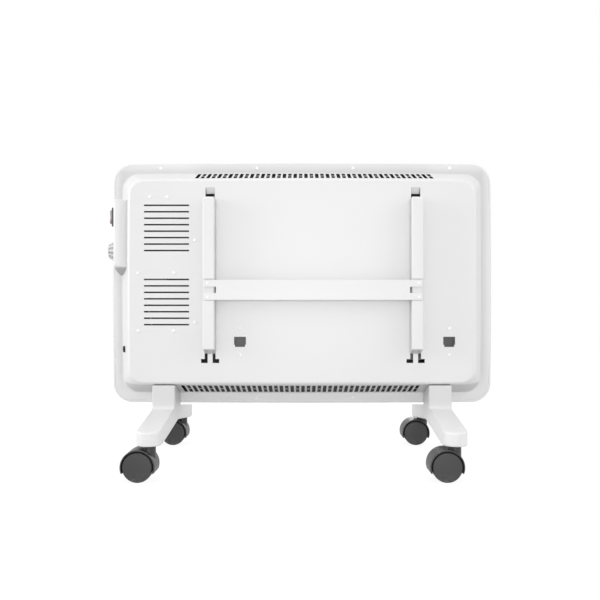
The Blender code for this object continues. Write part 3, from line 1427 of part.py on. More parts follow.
def make_castors(feet):
    """Four castors of one design: stem, hood, axle and two wheels, each its own object."""
    hood_mesh, stem_mesh, axle_mesh = castor_hood_mesh(), castor_stem_mesh(), castor_axle_mesh()
    wheel_meshes = {"rear": castor_wheel_mesh(1), "front": castor_wheel_mesh(-1)}
    for side, foot in feet.items():
        for end, way in (("front", -1), ("rear", 1)):
            name = f"{end}_{side}"
            frame = frame_at(f"castor_{name}", (0, way * WHEELBASE / 2, 0), foot)
            place_object(f"castor_stem_{name}", stem_mesh, frame)
            hood = place_object(f"castor_hood_{name}", hood_mesh, frame)
            combine(hood, f"hood_boss_{name}", hood_boss(), "UNION")
            combine(hood, f"hood_hollows_{name}", hood_hollows())
            combine(hood, f"hood_underside_{name}", hood_underside())
            combine(hood, f"hood_bores_{name}", hood_bores())
            centre = (CASTOR_TRAIL, 0, WHEEL_RADIUS)
            place_object(f"castor_axle_{name}", axle_mesh, frame, centre)
            for position, mesh in wheel_meshes.items():
                place_object(f"castor_wheel_{name}_{position}", mesh, frame, centre)


def lead_in(end, here, there):
    """The point before `here` that makes a curve leave it straight on from the route's end."""
    return there - (here - end).normalized() * (there - here).length


def smooth_route(route):
    """Points of one curve through the route's points, straight in its first and last run."""
    first = lead_in(*route[:3])
    last = lead_in(*route[: -4 : -1])
    padded = [first, *route[1:-1], last]
    points = [route[0]]
    for index in range(1, len(padded) - 2):
        before, here, there, after = padded[index - 1 : index + 3]
        for step in range(LEAD_SPAN_STEPS):
            t = step / LEAD_SPAN_STEPS
            straight = here * 2 + (there - before) * t
            bend = (before * 2 - here * 5 + there * 4 - after) * t**2
            twist = (here * 3 - before - there * 3 + after) * t**3
            points.append((straight + bend + twist) / 2)
    return [*points, *route[-2:]]


def make_lead(name, route, body):
    """An insulated lead: a round tube along its route."""
    points = smooth_route([Vector(place) for place in route])
    curve = bpy.data.curves.new(name, "CURVE")
    curve.dimensions = "3D"
    curve.bevel_depth = LEAD_RADIUS
    curve.bevel_resolution = LEAD_RESOLUTION
    curve.use_fill_caps = True
    spline = curve.splines.new("POLY")
    spline.points.add(len(points) - 1)
    for point, place in zip(spline.points, points):
        point.co = (*place, 1)
    curve.materials.append(finish("lead_sleeve"))
    place_object(name, curve, body)


def make_leads(body):
    """The five leads between the terminal block, switch, thermostat, cut-out and element."""
    block_x, block_z = on_face(*CARRIER_SHARES["terminal_block"])
    block_width, block_depth, block_height = CARRIER_BODIES["terminal_block"]
    block_y = INNER_FACE - CARRIER_PLATE - block_depth / 2
    block_top = block_z + block_height / 2 + FIT
    pole = block_width / 4
    switch_x = BOX_SIDE - SWITCH_BODY_DEPTH - FIT
    switch_pole = SWITCH_LENGTH / 4
    stat_x = BOX_INSIDE - THERMOSTAT_DEPTH - FIT
    stat_pole = THERMOSTAT_SIZE / 4
    window_high, window_low = (share * FACE_HALF_HEIGHT for share in WINDOW_Z_SHARES)
    stand, bend = LEAD_STUB, LEAD_BEND
    cutout_x = PARTITION_X - FIT - CUTOUT_THICKNESS / 2
    cutout_z = CUTOUT_Z_SHARE * FACE_HALF_HEIGHT
    left, right = element_ends()
    pin_reach = SUPPORT_HALF_WIDTH + SHEATH_END + TERMINAL_LENGTH + FIT
    below_fins = SUPPORT_Z - ELEMENT_HEIGHT / 2 - stand
    make_lead("lead_block_to_switch", [
        (block_x + pole, block_y, block_top),
        (block_x + pole, block_y, block_top + stand),
        (block_x + pole + bend, BOX_MIDDLE, block_top + 3 * bend),
        (stat_x - bend, BOX_MIDDLE, KNOB_Z - bend),
        (stat_x - bend, BOX_MIDDLE, SWITCH_Z - bend),
        (switch_x - stand, BOX_MIDDLE, SWITCH_Z + switch_pole),
        (switch_x, BOX_MIDDLE, SWITCH_Z + switch_pole),
    ], body)
    make_lead("lead_switch_to_thermostat", [
        (switch_x, BOX_MIDDLE, SWITCH_Z - switch_pole),
        (switch_x - stand, BOX_MIDDLE, SWITCH_Z - switch_pole),
        (stat_x - bend / 2, BOX_MIDDLE, (SWITCH_Z + KNOB_Z) / 2),
        (stat_x - stand, BOX_MIDDLE, KNOB_Z + stat_pole),
        (stat_x, BOX_MIDDLE, KNOB_Z + stat_pole),
    ], body)
    make_lead("lead_thermostat_to_cutout", [
        (stat_x, ELEMENT_DEPTH, KNOB_Z - stat_pole),
        (stat_x - stand, ELEMENT_DEPTH, KNOB_Z - stat_pole),
        (stat_x - 3 * bend, ELEMENT_DEPTH, (KNOB_Z + window_high) / 2),
        (PARTITION_X + bend, ELEMENT_DEPTH, window_high),
        (PARTITION_X - stand, ELEMENT_DEPTH, window_high),
        (cutout_x, ELEMENT_DEPTH, cutout_z + CUTOUT_RADIUS + bend),
        (cutout_x, ELEMENT_DEPTH, cutout_z + CUTOUT_RADIUS + FIT),
    ], body)
    make_lead("lead_cutout_to_element", [
        (cutout_x, ELEMENT_DEPTH, cutout_z - CUTOUT_RADIUS - FIT),
        (cutout_x, ELEMENT_DEPTH, cutout_z - CUTOUT_RADIUS - stand),
        (cutout_x - stand, ELEMENT_DEPTH, SUPPORT_Z + 2 * bend),
        (right + pin_reach + bend, ELEMENT_DEPTH, SUPPORT_Z + stand),
        (right + pin_reach + stand, ELEMENT_DEPTH, SUPPORT_Z),
        (right + pin_reach, ELEMENT_DEPTH, SUPPORT_Z),
    ], body)
    make_lead("lead_block_to_element", [
        (block_x - block_width / 2 - FIT, block_y, block_z),
        (block_x - block_width / 2 - stand, block_y, block_z),
        (PARTITION_X + bend, ELEMENT_DEPTH, window_low),
        (PARTITION_X - stand, ELEMENT_DEPTH, window_low),
        (PARTITION_X - bend, ELEMENT_DEPTH - bend, (window_low + below_fins) / 2),
        (right + SUPPORT_HALF_WIDTH, ELEMENT_DEPTH - stand, below_fins),
        ((left + right) / 2, ELEMENT_DEPTH, below_fins),
        (left, ELEMENT_DEPTH, below_fins),
        (left - pin_reach - 2 * stand, ELEMENT_DEPTH, (below_fins + SUPPORT_Z) / 2),
        (left - pin_reach - stand, ELEMENT_DEPTH, SUPPORT_Z),
        (left - pin_reach, ELEMENT_DEPTH, SUPPORT_Z),
    ], body)


def build_body():
    """Everything that stands on the feet."""
    body = frame_at("heater_body", (0, FLANGE_Y, PANEL_CENTRE_Z))
    make_front_panel(body)
    make_rear_casing(body)
    make_panel_screws(body)
    for side in SUPPORT_X_SHARES:
        make_element_support(side, body)
    make_element(body)
    make_partition(body)
    for name in CARRIER_SHARES:
        make_carrier(name, body)
    make_cutout(body)
    make_control_box(body)
    make_switch(body)
    make_thermostat(body)
    make_cord_inlet(body)
    for side in CHANNEL_X_SHARES:
        make_bracket_channel(side, body)
    make_cross_strip(body)
    make_leads(body)


def build_feet():
    """Both feet with their screws and castors."""
    feet = {}
    for side, x in (("right", FOOT_SPACING / 2), ("left", -FOOT_SPACING / 2)):
        feet[side] = frame_at(f"foot_frame_{side}", (x, 0, 0))
        make_foot(side, feet[side], x)
        make_foot_screws(side, feet[side], x)
    make_castors(feet)


clear_scene()
build_body()
build_feet()
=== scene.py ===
"""The looks of a panel convector heater on castor feet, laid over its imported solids.

Metres, in the frame of the solids: +Z up, the front panel faces -Y, the rear casing +Y, and the
controls are on the right side, +X. Each piece is built in place and rides on one body.
"""

import json
import logging
import math
from collections.abc import Callable, Iterable, Sequence
from dataclasses import dataclass
from enum import Enum

import bmesh
import bpy
from bmesh.types import BMEdge, BMFace, BMesh, BMVert
from mathutils import Matrix, Vector


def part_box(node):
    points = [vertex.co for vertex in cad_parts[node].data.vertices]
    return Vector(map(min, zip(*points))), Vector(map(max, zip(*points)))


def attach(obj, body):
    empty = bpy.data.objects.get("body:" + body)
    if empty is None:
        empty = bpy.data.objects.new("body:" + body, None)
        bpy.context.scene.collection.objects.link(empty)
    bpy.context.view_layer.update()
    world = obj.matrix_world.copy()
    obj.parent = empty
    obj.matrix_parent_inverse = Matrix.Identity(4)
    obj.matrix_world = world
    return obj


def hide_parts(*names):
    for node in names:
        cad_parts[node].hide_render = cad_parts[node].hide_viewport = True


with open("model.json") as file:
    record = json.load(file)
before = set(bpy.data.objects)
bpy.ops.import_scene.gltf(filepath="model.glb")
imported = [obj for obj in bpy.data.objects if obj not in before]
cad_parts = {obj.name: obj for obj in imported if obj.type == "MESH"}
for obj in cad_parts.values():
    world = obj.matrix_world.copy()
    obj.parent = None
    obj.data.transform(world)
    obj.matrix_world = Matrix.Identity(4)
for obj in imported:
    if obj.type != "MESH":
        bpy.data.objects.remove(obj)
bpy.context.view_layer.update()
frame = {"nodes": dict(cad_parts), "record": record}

log = logging.getLogger("convector")

Point = tuple[float, float]
Place = tuple[float, float, float]
Colour = tuple[float, float, float]
Inputs = dict[str, object]

WELD = 1e-6
FIT = 0.0003
OVERRUN = 0.003
HOOK_TIP = 0.006
SHARP = math.radians(32)
OCTAVE_SHARE = 0.55
SIDES = {"right": 1, "left": -1}
ENDS = {"front": -1, "rear": 1}


# Shader graphs

def arithmetic(operation: str, swap: bool = False) -> Callable[["Sock", "Sock | float"], "Sock"]:
    """A Python operator that adds one Math node, with its two values swapped on request.

    Args:
        operation: the Math node's operation.
        swap: whether the two values change places.

    Returns:
        The method.
    """

    def method(self: "Sock", other: "Sock | float") -> "Sock":
        """The node's output."""
        first, second = (other, self) if swap else (self, other)
        return self.graph.math(operation, first, second)

    return method


@dataclass
class Sock:
    """A shader value that answers to Python's arithmetic by adding Math nodes."""

    graph: "Graph"
    socket: bpy.types.NodeSocket

    __add__, __radd__ = arithmetic("ADD"), arithmetic("ADD", swap=True)
    __sub__, __rsub__ = arithmetic("SUBTRACT"), arithmetic("SUBTRACT", swap=True)
    __mul__, __rmul__ = arithmetic("MULTIPLY"), arithmetic("MULTIPLY", swap=True)


class Graph:
    """The node tree of one material or world."""

    def __init__(self, owner: bpy.types.Material | bpy.types.World) -> None:
        """Start an empty tree on its owner.

        Args:
            owner: the material or world that the tree belongs to.
        """
        owner.use_nodes = True
        self.tree = owner.node_tree
        self.tree.nodes.clear()

    def node(
        self,
        kind: str,
        values: dict[str | int, object] | None = None,
        output: str | int = 0,
        **settings: object,
    ) -> Sock:
        """Add a node.

        Args:
            kind: the node's type.
            values: numbers, colours or Socks for its inputs, by name or index.
            output: the output that is returned.
            settings: properties that are set first.

        Returns:
            The chosen output, wrapped.
        """
        made = self.tree.nodes.new(kind)
        for key, value in settings.items():
            setattr(made, key, value)
        for key, value in (values or {}).items():
            if isinstance(value, Sock):
                self.tree.links.new(value.socket, made.inputs[key])
            else:
                made.inputs[key].default_value = value
        return Sock(self, made.outputs[output] if made.outputs else made.inputs[0])

    def math(
        self, operation: str, first: Sock | float, second: Sock | float = 0.0, clamp: bool = False
    ) -> Sock:
        """One Math node."""
        values = {0: first, 1: second}
        return self.node("ShaderNodeMath", values, operation=operation, use_clamp=clamp)

    def vector(self, operation: str, first: Sock, second: Sock | Place, output: int = 0) -> Sock:
        """One Vector Math node."""
        values = {0: first, 1: second}
        return self.node("ShaderNodeVectorMath", values, output, operation=operation)

    def place(self, scale: Place = (1, 1, 1), centre: Place = (0, 0, 0)) -> Sock:
        """Object coordinates, moved to a centre and scaled along each axis."""
        coords = self.node("ShaderNodeTexCoord", output="Object")
        return self.vector("MULTIPLY", self.vector("SUBTRACT", coords, centre), scale)

    def axis(self, name: str, centre: Place = (0, 0, 0)) -> Sock:
        """One object coordinate, counted from a centre."""
        return self.node("ShaderNodeSeparateXYZ", {0: self.place(centre=centre)}, name)

    def noise(self, scale: float, detail: float = 2, stretch: Place = (1, 1, 1)) -> Sock:
        """Soft noise from 0 to 1, with this many cells to the metre before it is stretched."""
        values = {"Vector": self.place(stretch), "Scale": scale, "Detail": detail}
        return self.node("ShaderNodeTexNoise", {**values, "Roughness": OCTAVE_SHARE})

    def fade(self, value: Sock, start: float, end: float) -> Sock:
        """0 where the value is at its start, 1 where it is at its end, even between."""
        return self.math("MULTIPLY", value - start, 1 / (end - start), clamp=True)

    def mix(self, factor: Sock, first: Colour | Sock, second: Colour | Sock) -> Sock:
        """Two colours mixed by a factor.

        Args:
            factor: 0 gives the first colour, 1 the second.
            first: a colour, fixed or from nodes.
            second: a colour, fixed or from nodes.

        Returns:
            The mixed colour.
        """
        ends = [end if isinstance(end, Sock) else (*end, 1.0) for end in (first, second)]
        values = {0: factor, 6: ends[0], 7: ends[1]}
        return self.node("ShaderNodeMix", values, 2, data_type="RGBA")

    def stain(self, base: Inputs, mask: Sock, colour: Colour) -> Inputs:
        """A surface's inputs with another colour where the mask is 1."""
        return {**base, "Base Color": self.mix(mask, base["Base Color"], colour)}

    def bump(self, height: Sock, distance: float) -> Sock:
        """A normal from a height, where a height of 1 stands this many metres proud."""
        values = {"Height": height, "Distance": distance, "Strength": 1.0}
        return self.node("ShaderNodeBump", values)

    def seen(self) -> Sock:
        """1 for rays that show a surface to the camera, straight or by way of the heater.

        Returns:
            A value of 1 for those rays and 0 for the others.
        """
        kinds = ("Is Camera Ray", "Is Glossy Ray", "Is Transmission Ray")
        camera, glossy, clear = (self.node("ShaderNodeLightPath", output=kind) for kind in kinds)
        return camera + glossy + clear


def shade(colour: Colour, factor: float) -> Colour:
    """The colour with its light scaled by a factor."""
    return tuple(channel * factor for channel in colour)


# Finishes

@dataclass(frozen=True)
class Finish:
    """A finish of the heater: its record slot, colour in linear light and roughness."""

    name: str
    slot: str
    colour: Colour
    roughness: float

    @classmethod
    def like(cls, coat: "Coats", name: str, **fields: object) -> "Finish":
        """A finish of this kind with the slot, colour and roughness of a coat."""
        base = coat.value
        return cls(name, base.slot, base.colour, base.roughness, **fields)

    def material(self) -> bpy.types.Material:
        """The finish's material, made the first time it is asked for.

        Returns:
            The material.
        """
        material = bpy.data.materials.get(self.name)
        if material is None:
            material = bpy.data.materials.new(self.name)
            graph = Graph(material)
            values = {"Base Color": (*self.colour, 1.0), "Roughness": self.roughness}
            shader = graph.node("ShaderNodeBsdfPrincipled", {**values, **self.surface(graph)})
            graph.node("ShaderNodeOutputMaterial", {"Surface": shader})
        return material

    def surface(self, graph: Graph) -> Inputs:
        """The inputs of the shader that this finish sets."""
        raise NotImplementedError


@dataclass(frozen=True)
class PowderCoat(Finish):
    """Sprayed and baked coat: broad faint clouds, and a fine orange peel."""

    peel: float = 620.0
    peel_depth: float = 0.000012
    peel_gloss: float = 0.1
    grain: float = 4.0
    grain_share: float = 0.35
    cloud: float = 5.0
    cloud_shade: float = 0.975

    def surface(self, graph: Graph) -> Inputs:
        """Faint clouds in the colour, and a peel in the height and the gloss.

        Args:
            graph: the material's node tree.

        Returns:
            The shader's inputs, by name.
        """
        clouds = graph.noise(self.cloud, 3)
        peel = graph.noise(self.peel)
        grain = graph.noise(self.peel * self.grain, 1)
        return {
            "Base Color": graph.mix(clouds, shade(self.colour, self.cloud_shade), self.colour),
            "Roughness": self.roughness + self.peel_gloss * (peel - 0.5),
            "Normal": graph.bump(peel + self.grain_share * grain, self.peel_depth),
        }


@dataclass(frozen=True)
class OuterCoat(PowderCoat):
    """Powder coat on the outside of a sheet, with a dark primer inside, painted near black as
    painted shade for the inside.
    """

    heart: Place = (0, 0, 0)
    rim_y: float = 1.0
    primer_and_shade: Colour = (0.055, 0.055, 0.056)

    def surface(self, graph: Graph) -> Inputs:
        """The coat, and the primer, darkened as painted shade, where the surface faces the heart,
        in front of the rim.

        Args:
            graph: the material's node tree.

        Returns:
            The shader's inputs, by name.
        """
        facing = graph.node("ShaderNodeTexCoord", output="Normal")
        outwards = graph.vector("DOT_PRODUCT", facing, graph.place(centre=self.heart), 1)
        before = graph.math("LESS_THAN", graph.axis("Y"), self.rim_y)
        inside = graph.math("LESS_THAN", outwards, 0.0) * before
        # Painted shade: the inner faces take the near-black primer colour, standing for the shade
        # inside the sheet.
        return graph.stain(super().surface(graph), inside, self.primer_and_shade)


@dataclass(frozen=True)
class SeamedCoat(OuterCoat):
    """Coat of the rear casing: painted shade along its seam, and painted shade on its bottom wall.
    """

    centre: Place = (0, 0, 0)
    half: Point = (0.3, 0.2)
    reach: float = 0.012
    climb: float = 0.006
    film: float = 0.79
    draft: float = 0.02
    underside: float = 0.74

    def surface(self, graph: Graph) -> Inputs:
        """Painted shade along the seam, thinning over the flange and up the walls, but for the
        bottom wall, which has its own painted shade.

        Args:
            graph: the material's node tree.

        Returns:
            The shader's inputs, by name.
        """
        across, up = self.half
        x, y, z = (graph.axis(name, self.centre) for name in "XYZ")
        beside, over = graph.math("ABSOLUTE", x) - across, graph.math("ABSOLUTE", z) - up
        # Painted shade in the corner where the walls meet the flange, standing for the shade
        # there.
        seam = graph.fade(graph.math("MAXIMUM", beside, over), self.reach, 0)
        seam *= graph.fade(y, self.climb, 0) * graph.fade(z, -up, -0.8 * up)
        dusty = graph.stain(super().surface(graph), seam, shade(self.colour, self.film))
        # Painted shade on the bottom wall, darker than the coat where less light reaches it.
        below = graph.fade(z, self.draft - up, 0.86 * self.draft - up)
        below *= graph.fade(y, 0.2 * self.climb, 0.8 * self.climb)
        return graph.stain(dusty, below, shade(self.colour, self.underside))


@dataclass(frozen=True)
class Sheltered(Finish):
    """A finish with painted shade that grows along one axis into a sheltered place."""

    under: Finish
    axis: str
    clean: float
    dusty: float
    film: float

    @classmethod
    def over(cls, coat: "Coats", name: str, **fields: str | float) -> "Sheltered":
        """The painted shade over a coat: its axis, where it starts, where it is full, and its
        depth.
        """
        return cls.like(coat, name, under=coat.value, **fields)

    def surface(self, graph: Graph) -> Inputs:
        """The finish below, darker towards the sheltered end as painted shade."""
        # Painted shade: the colour darkens from its start to where it is full along the axis.
        mask = graph.fade(graph.axis(self.axis), self.clean, self.dusty)
        return graph.stain(self.under.surface(graph), mask, shade(self.colour, self.film))


@dataclass(frozen=True)
class Moulding(Finish):
    """Spark-textured moulding: fine pits and flow clouds, with high spots lighter and pits darker
    as painted shade.
    """

    pit: float = 1500.0
    pit_depth: float = 0.00002
    flow: float = 22.0
    flow_gloss: float = 0.12
    contrast: float = 0.06

    def surface(self, graph: Graph) -> Inputs:
        """Pits in the height, flow clouds in the colour and the gloss, and painted shade in the
        pits.

        Args:
            graph: the material's node tree.

        Returns:
            The shader's inputs, by name.
        """
        pits = graph.noise(self.pit)
        flow = graph.noise(self.flow, 3, (1, 1, 0.4))
        # Painted shade: the colour is lighter on high spots and darker in the pits, mixed with the
        # real flow clouds.
        high = graph.fade(pits + 0.5 * flow, 0.45, 0.95)
        return {
            "Base Color": graph.mix(high, shade(self.colour, 1 - self.contrast), self.colour),
            "Roughness": self.roughness + self.flow_gloss * (flow - 0.5),
            "Normal": graph.bump(pits, self.pit_depth),
        }


@dataclass(frozen=True)
class ScuffedNylon(Moulding):
    """Castor nylon: a moulding with light dust and scuffs from the floor."""

    dust: Colour = (0.16, 0.155, 0.15)
    dust_height: float = 0.016
    dust_share: float = 0.55
    dust_gloss: float = 0.2
    streak: float = 160.0
    streak_levels: Point = (0.42, 0.75)

    def surface(self, graph: Graph) -> Inputs:
        """Dust that thickens towards the floor, in streaks.

        Args:
            graph: the material's node tree.

        Returns:
            The shader's inputs, by name.
        """
        base = super().surface(graph)
        streaks = graph.fade(graph.noise(self.streak, 4, (1, 0.35, 1)), *self.streak_levels)
        dusty = graph.fade(graph.axis("Z"), self.dust_height, 0) * streaks * self.dust_share
        return {
            **graph.stain(base, dusty, self.dust),
            "Roughness": base["Roughness"] + self.dust_gloss * dusty,
        }


@dataclass(frozen=True)
class RibbedMoulding(Moulding):
    """Moulding of the knob, with painted shade in the grooves between its ribs."""

    centre: Place = (0, 0, 0)
    ribs: int = 12
    height: float = 0.01
    groove_shade: Colour = (0.20, 0.20, 0.20)
    groove_shade_share: float = 0.7

    def surface(self, graph: Graph) -> Inputs:
        """Painted shade in the grooves round the grip, none on its end.

        Args:
            graph: the material's node tree.

        Returns:
            The shader's inputs, by name.
        """
        x, y, z = (graph.axis(name, self.centre) for name in "XYZ")
        wave = graph.math("COSINE", graph.math("ARCTAN2", z, y) * self.ribs)
        grooves = graph.fade(0.5 - 0.5 * wave, 0.35, 1)
        side = graph.fade(x, 0.93 * self.height, 0.86 * self.height)
        # Painted shade: the grooves take a dark colour where the ribs shade them.
        shaded_grooves = grooves * side * self.groove_shade_share
        return graph.stain(super().surface(graph), shaded_grooves, self.groove_shade)


@dataclass(frozen=True)
class TwoToneGloss(Finish):
    """Glossy rocker cap: grey above, and a warm lower end."""

    warm: Colour
    centre: Place
    blend: float = 0.004
    mottle: float = 500.0
    mottle_depth: float = 0.000006
    mottle_gloss: float = 0.08
    coat: float = 0.3

    def surface(self, graph: Graph) -> Inputs:
        """A soft change of colour along the cap, under a smooth coat.

        Args:
            graph: the material's node tree.

        Returns:
            The shader's inputs, by name.
        """
        mask = graph.fade(graph.axis("Z", self.centre), -self.blend / 2, self.blend / 2)
        mottle = graph.noise(self.mottle)
        return {
            "Base Color": graph.mix(mask, self.warm, self.colour),
            "Roughness": self.roughness + self.mottle_gloss * mottle,
            "Coat Weight": self.coat,
            "Normal": graph.bump(mottle, self.mottle_depth),
        }


@dataclass(frozen=True)
class PlatedSteel(Finish):
    """Zinc-plated steel: bright, with fine drawn lines and dull patches."""

    lines: Place = (0.06, 1.0, 1.0)
    line: float = 2600.0
    line_depth: float = 0.000008
    line_gloss: float = 0.12
    patch: float = 90.0
    patch_gloss: float = 0.08
    dull: float = 0.86

    def surface(self, graph: Graph) -> Inputs:
        """Drawn lines in the height and the gloss, and patches in the colour.

        Args:
            graph: the material's node tree.

        Returns:
            The shader's inputs, by name.
        """
        drawn = graph.noise(self.line, 2, self.lines)
        patches = graph.noise(self.patch, 3)
        gloss = self.line_gloss * drawn + self.patch_gloss * (patches - 1)
        return {
            "Base Color": graph.mix(patches, shade(self.colour, self.dull), self.colour),
            "Metallic": 1.0,
            "Roughness": self.roughness + gloss,
            "Normal": graph.bump(drawn, self.line_depth),
        }


@dataclass(frozen=True)
class TintedTube(Finish):
    """Element tube: steel with straw and blue heat tints in bands."""

    tint: Colour = (0.20, 0.13, 0.08)
    band: float = 30.0
    band_levels: Point = (0.35, 0.65)
    line: float = 2200.0
    line_depth: float = 0.000006
    line_gloss: float = 0.12

    def surface(self, graph: Graph) -> Inputs:
        """Tints along the tube, over fine drawn lines.

        Args:
            graph: the material's node tree.

        Returns:
            The shader's inputs, by name.
        """
        bands = graph.fade(graph.noise(self.band, 4, (1, 0.2, 0.2)), *self.band_levels)
        drawn = graph.noise(self.line, 2, (0.04, 1, 1))
        return {
            "Base Color": graph.mix(bands, self.tint, self.colour),
            "Metallic": 1.0,
            "Roughness": self.roughness + self.line_gloss * drawn,
            "Normal": graph.bump(drawn, self.line_depth),
        }


@dataclass(frozen=True)
class WovenSleeve(Finish):
    """Heat-proof sleeve of the inner leads: a fine slanted weave."""

    pitch: float = 0.0011
    depth: float = 0.00006
    dip_shade: float = 0.6

    def surface(self, graph: Graph) -> Inputs:
        """Two crossing sets of threads, with painted shade where they dip.

        Args:
            graph: the material's node tree.

        Returns:
            The shader's inputs, by name.
        """
        across, up = (graph.axis(name) * (math.tau / self.pitch) for name in "XZ")
        threads = graph.math("SINE", across + up) + graph.math("SINE", across - up)
        height = threads * 0.25 + 0.5
        # Painted shade: the colour darkens where the threads dip.
        return {
            "Base Color": graph.mix(height, shade(self.colour, self.dip_shade), self.colour),
            "Normal": graph.bump(height, self.depth),
        }


class Coats(Enum):
    """The finishes of the heater's pieces."""

    WHITE_PAINT = PowderCoat("white powder coat", "white_paint", (0.74, 0.74, 0.74), 0.36)
    WHITE_MOULDING = Moulding(
        "white moulding", "white_moulding", (0.75, 0.75, 0.75), 0.40,
        pit_depth=0.000008, contrast=0.02,
    )
    BLACK_MOULDING = Moulding("black moulding", "black_moulding", (0.060, 0.060, 0.062), 0.42)
    INLET_RUBBER = Moulding("inlet rubber", "black_moulding", (0.010, 0.010, 0.010), 0.55)
    CASTOR_MOULDING = ScuffedNylon("castor nylon", "castor_moulding", (0.034, 0.034, 0.035), 0.42)
    # Painted highlight: a lighter copy of the white paint for the screw and rivet heads.
    SCREW_HIGHLIGHT_PAINT = PowderCoat(
        "screw paint with painted highlight", "white_paint", (0.92, 0.92, 0.92), 0.22, peel=1800.0, peel_depth=0.000004
    )
    GREY_MOULDING = Moulding(
        "grey moulding", "grey_moulding", (0.66, 0.66, 0.66), 0.34,
        pit_depth=0.000008, contrast=0.04,
    )
    ZINC = PlatedSteel("zinc plate", "zinc_plate", (0.70, 0.70, 0.69), 0.30)
    # Painted shade: the fins' aluminium is darkened so the inside seen through the vents stays
    # dark.
    ALUMINIUM = PlatedSteel(
        "aluminium darkened as painted shade", "aluminium", (0.30, 0.30, 0.31), 0.52, (0.01, 1.0, 1.0)
    )
    TUBE = TintedTube("heat tinted tube", "heat_sheath", (0.34, 0.32, 0.30), 0.40)
    SLEEVE = WovenSleeve("woven sleeve", "lead_sleeve", (0.72, 0.69, 0.63), 0.70)


# Places read from the solids

@dataclass(frozen=True)
class Box:
    """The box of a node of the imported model."""

    low: Vector
    high: Vector

    @classmethod
    def of(cls, node: str) -> "Box":
        """The box of a named node."""
        return cls(*map(Vector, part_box(node)))

    @property
    def centre(self) -> Vector:
        """The middle of the box."""
        return (self.low + self.high) / 2

    @property
    def size(self) -> Vector:
        """The lengths of the box."""
        return self.high - self.low


# Working on meshes

def upright_to(axis: Vector) -> Matrix:
    """The turn that takes +Z to an axis."""
    return Vector((0, 0, 1)).rotation_difference(axis).to_matrix().to_4x4()


def quarter(steps: int) -> list[Point]:
    """The cosine and sine of each step from 0 to 90 degrees."""
    angles = [math.pi / 2 * step / steps for step in range(steps + 1)]
    return [(math.cos(angle), math.sin(angle)) for angle in angles]


def add_block(bm: BMesh, low: Sequence[float], high: Sequence[float]) -> list[BMVert]:
    """A block between its lowest and highest corner.

    Args:
        bm: the mesh it is added to.
        low: its lowest corner.
        high: its highest corner.

    Returns:
        Its corners.
    """
    low, high = Vector(low), Vector(high)
    place = Matrix.Translation((low + high) / 2) @ Matrix.Diagonal((*(high - low), 1))
    return bmesh.ops.create_cube(bm, size=1, matrix=place)["verts"]


def add_rod(
    bm: BMesh, start: Sequence[float], end: Sequence[float], radius: float, segments: int = 48
) -> None:
    """A round rod between two points.

    Args:
        bm: the mesh it is added to.
        start: the middle of one end.
        end: the middle of the other end.
        radius: its radius.
        segments: steps round it.
    """
    start, end = Vector(start), Vector(end)
    place = Matrix.Translation((start + end) / 2) @ upright_to(end - start)
    bmesh.ops.create_cone(
        bm, cap_ends=True, segments=segments, radius1=radius, radius2=radius,
        depth=(end - start).length, matrix=place,
    )


def add_sweep(bm: BMesh, outline: Iterable[Sequence[float]], shift: Sequence[float]) -> None:
    """A solid between a flat outline and the same outline shifted.

    Args:
        bm: the mesh it is added to.
        outline: the corners of one end, in order.
        shift: the way to the other end.
    """
    base = bm.faces.new([bm.verts.new(corner) for corner in outline])
    grown = bmesh.ops.extrude_face_region(bm, geom=[base])["geom"]
    corners = [item for item in grown if isinstance(item, BMVert)]
    bmesh.ops.translate(bm, vec=Vector(shift), verts=corners)
    faces = [base] + [item for item in grown if isinstance(item, BMFace)]
    faces += [face for corner in corners for face in corner.link_faces if face not in faces]
    bmesh.ops.recalc_face_normals(bm, faces=list(dict.fromkeys(faces)))


def add_turned(
    bm: BMesh,
    profile: Sequence[Point],
    centre: Sequence[float],
    axis: Sequence[float],
    segments: int = 48,
) -> None:
    """A closed body of revolution.

    Args:
        bm: the mesh it is added to.
        profile: radius and height along the axis, from axis to axis.
        centre: where the height is zero.
        axis: the direction of the height.
        segments: steps round the axis.
    """
    centre, axis = Vector(centre), Vector(axis).normalized()
    place = Matrix.Translation(centre) @ upright_to(axis)
    known = set(bm.verts)
    verts = [bm.verts.new(place @ Vector((radius, 0, height))) for radius, height in profile]
    edges = [bm.edges.new(pair) for pair in zip(verts, verts[1:])]
    bmesh.ops.spin(
        bm, geom=verts + edges, cent=centre, axis=axis, angle=math.tau, steps=segments,
        use_merge=True,
    )
    bmesh.ops.remove_doubles(bm, verts=[vert for vert in bm.verts if vert not in known], dist=WELD)
    fresh = [face for face in bm.faces if face.verts[0] not in known]
    bmesh.ops.recalc_face_normals(bm, faces=fresh)


def soften(bm: BMesh, edges: Iterable[BMEdge], offset: float, segments: int) -> None:
    """Round off those of the edges that are still there.

    Args:
        bm: the mesh.
        edges: the edges to round.
        offset: how far the rounding reaches.
        segments: steps across it.
    """
    valid = [edge for edge in edges if edge.is_valid]
    bmesh.ops.bevel(
        bm, geom=valid, offset=offset, segments=segments, profile=0.5, affect="EDGES", material=-1
    )


def folds(bm: BMesh, where: Callable[[BMEdge], bool], least: float = SHARP) -> list[BMEdge]:
    """The edges that fold by at least an angle and pass a test."""
    folded = [edge for edge in bm.edges if len(edge.link_faces) == 2]
    return [edge for edge in folded if edge.calc_face_angle() > least and where(edge)]


def middle_of(edge: BMEdge) -> Vector:
    """The middle of an edge."""
    return (edge.verts[0].co + edge.verts[1].co) / 2


def inset(bm: BMesh, face: BMFace, thickness: float) -> None:
    """Draw a face in and leave a frame round it."""
    bmesh.ops.inset_region(bm, faces=[face], thickness=thickness, use_even_offset=True)


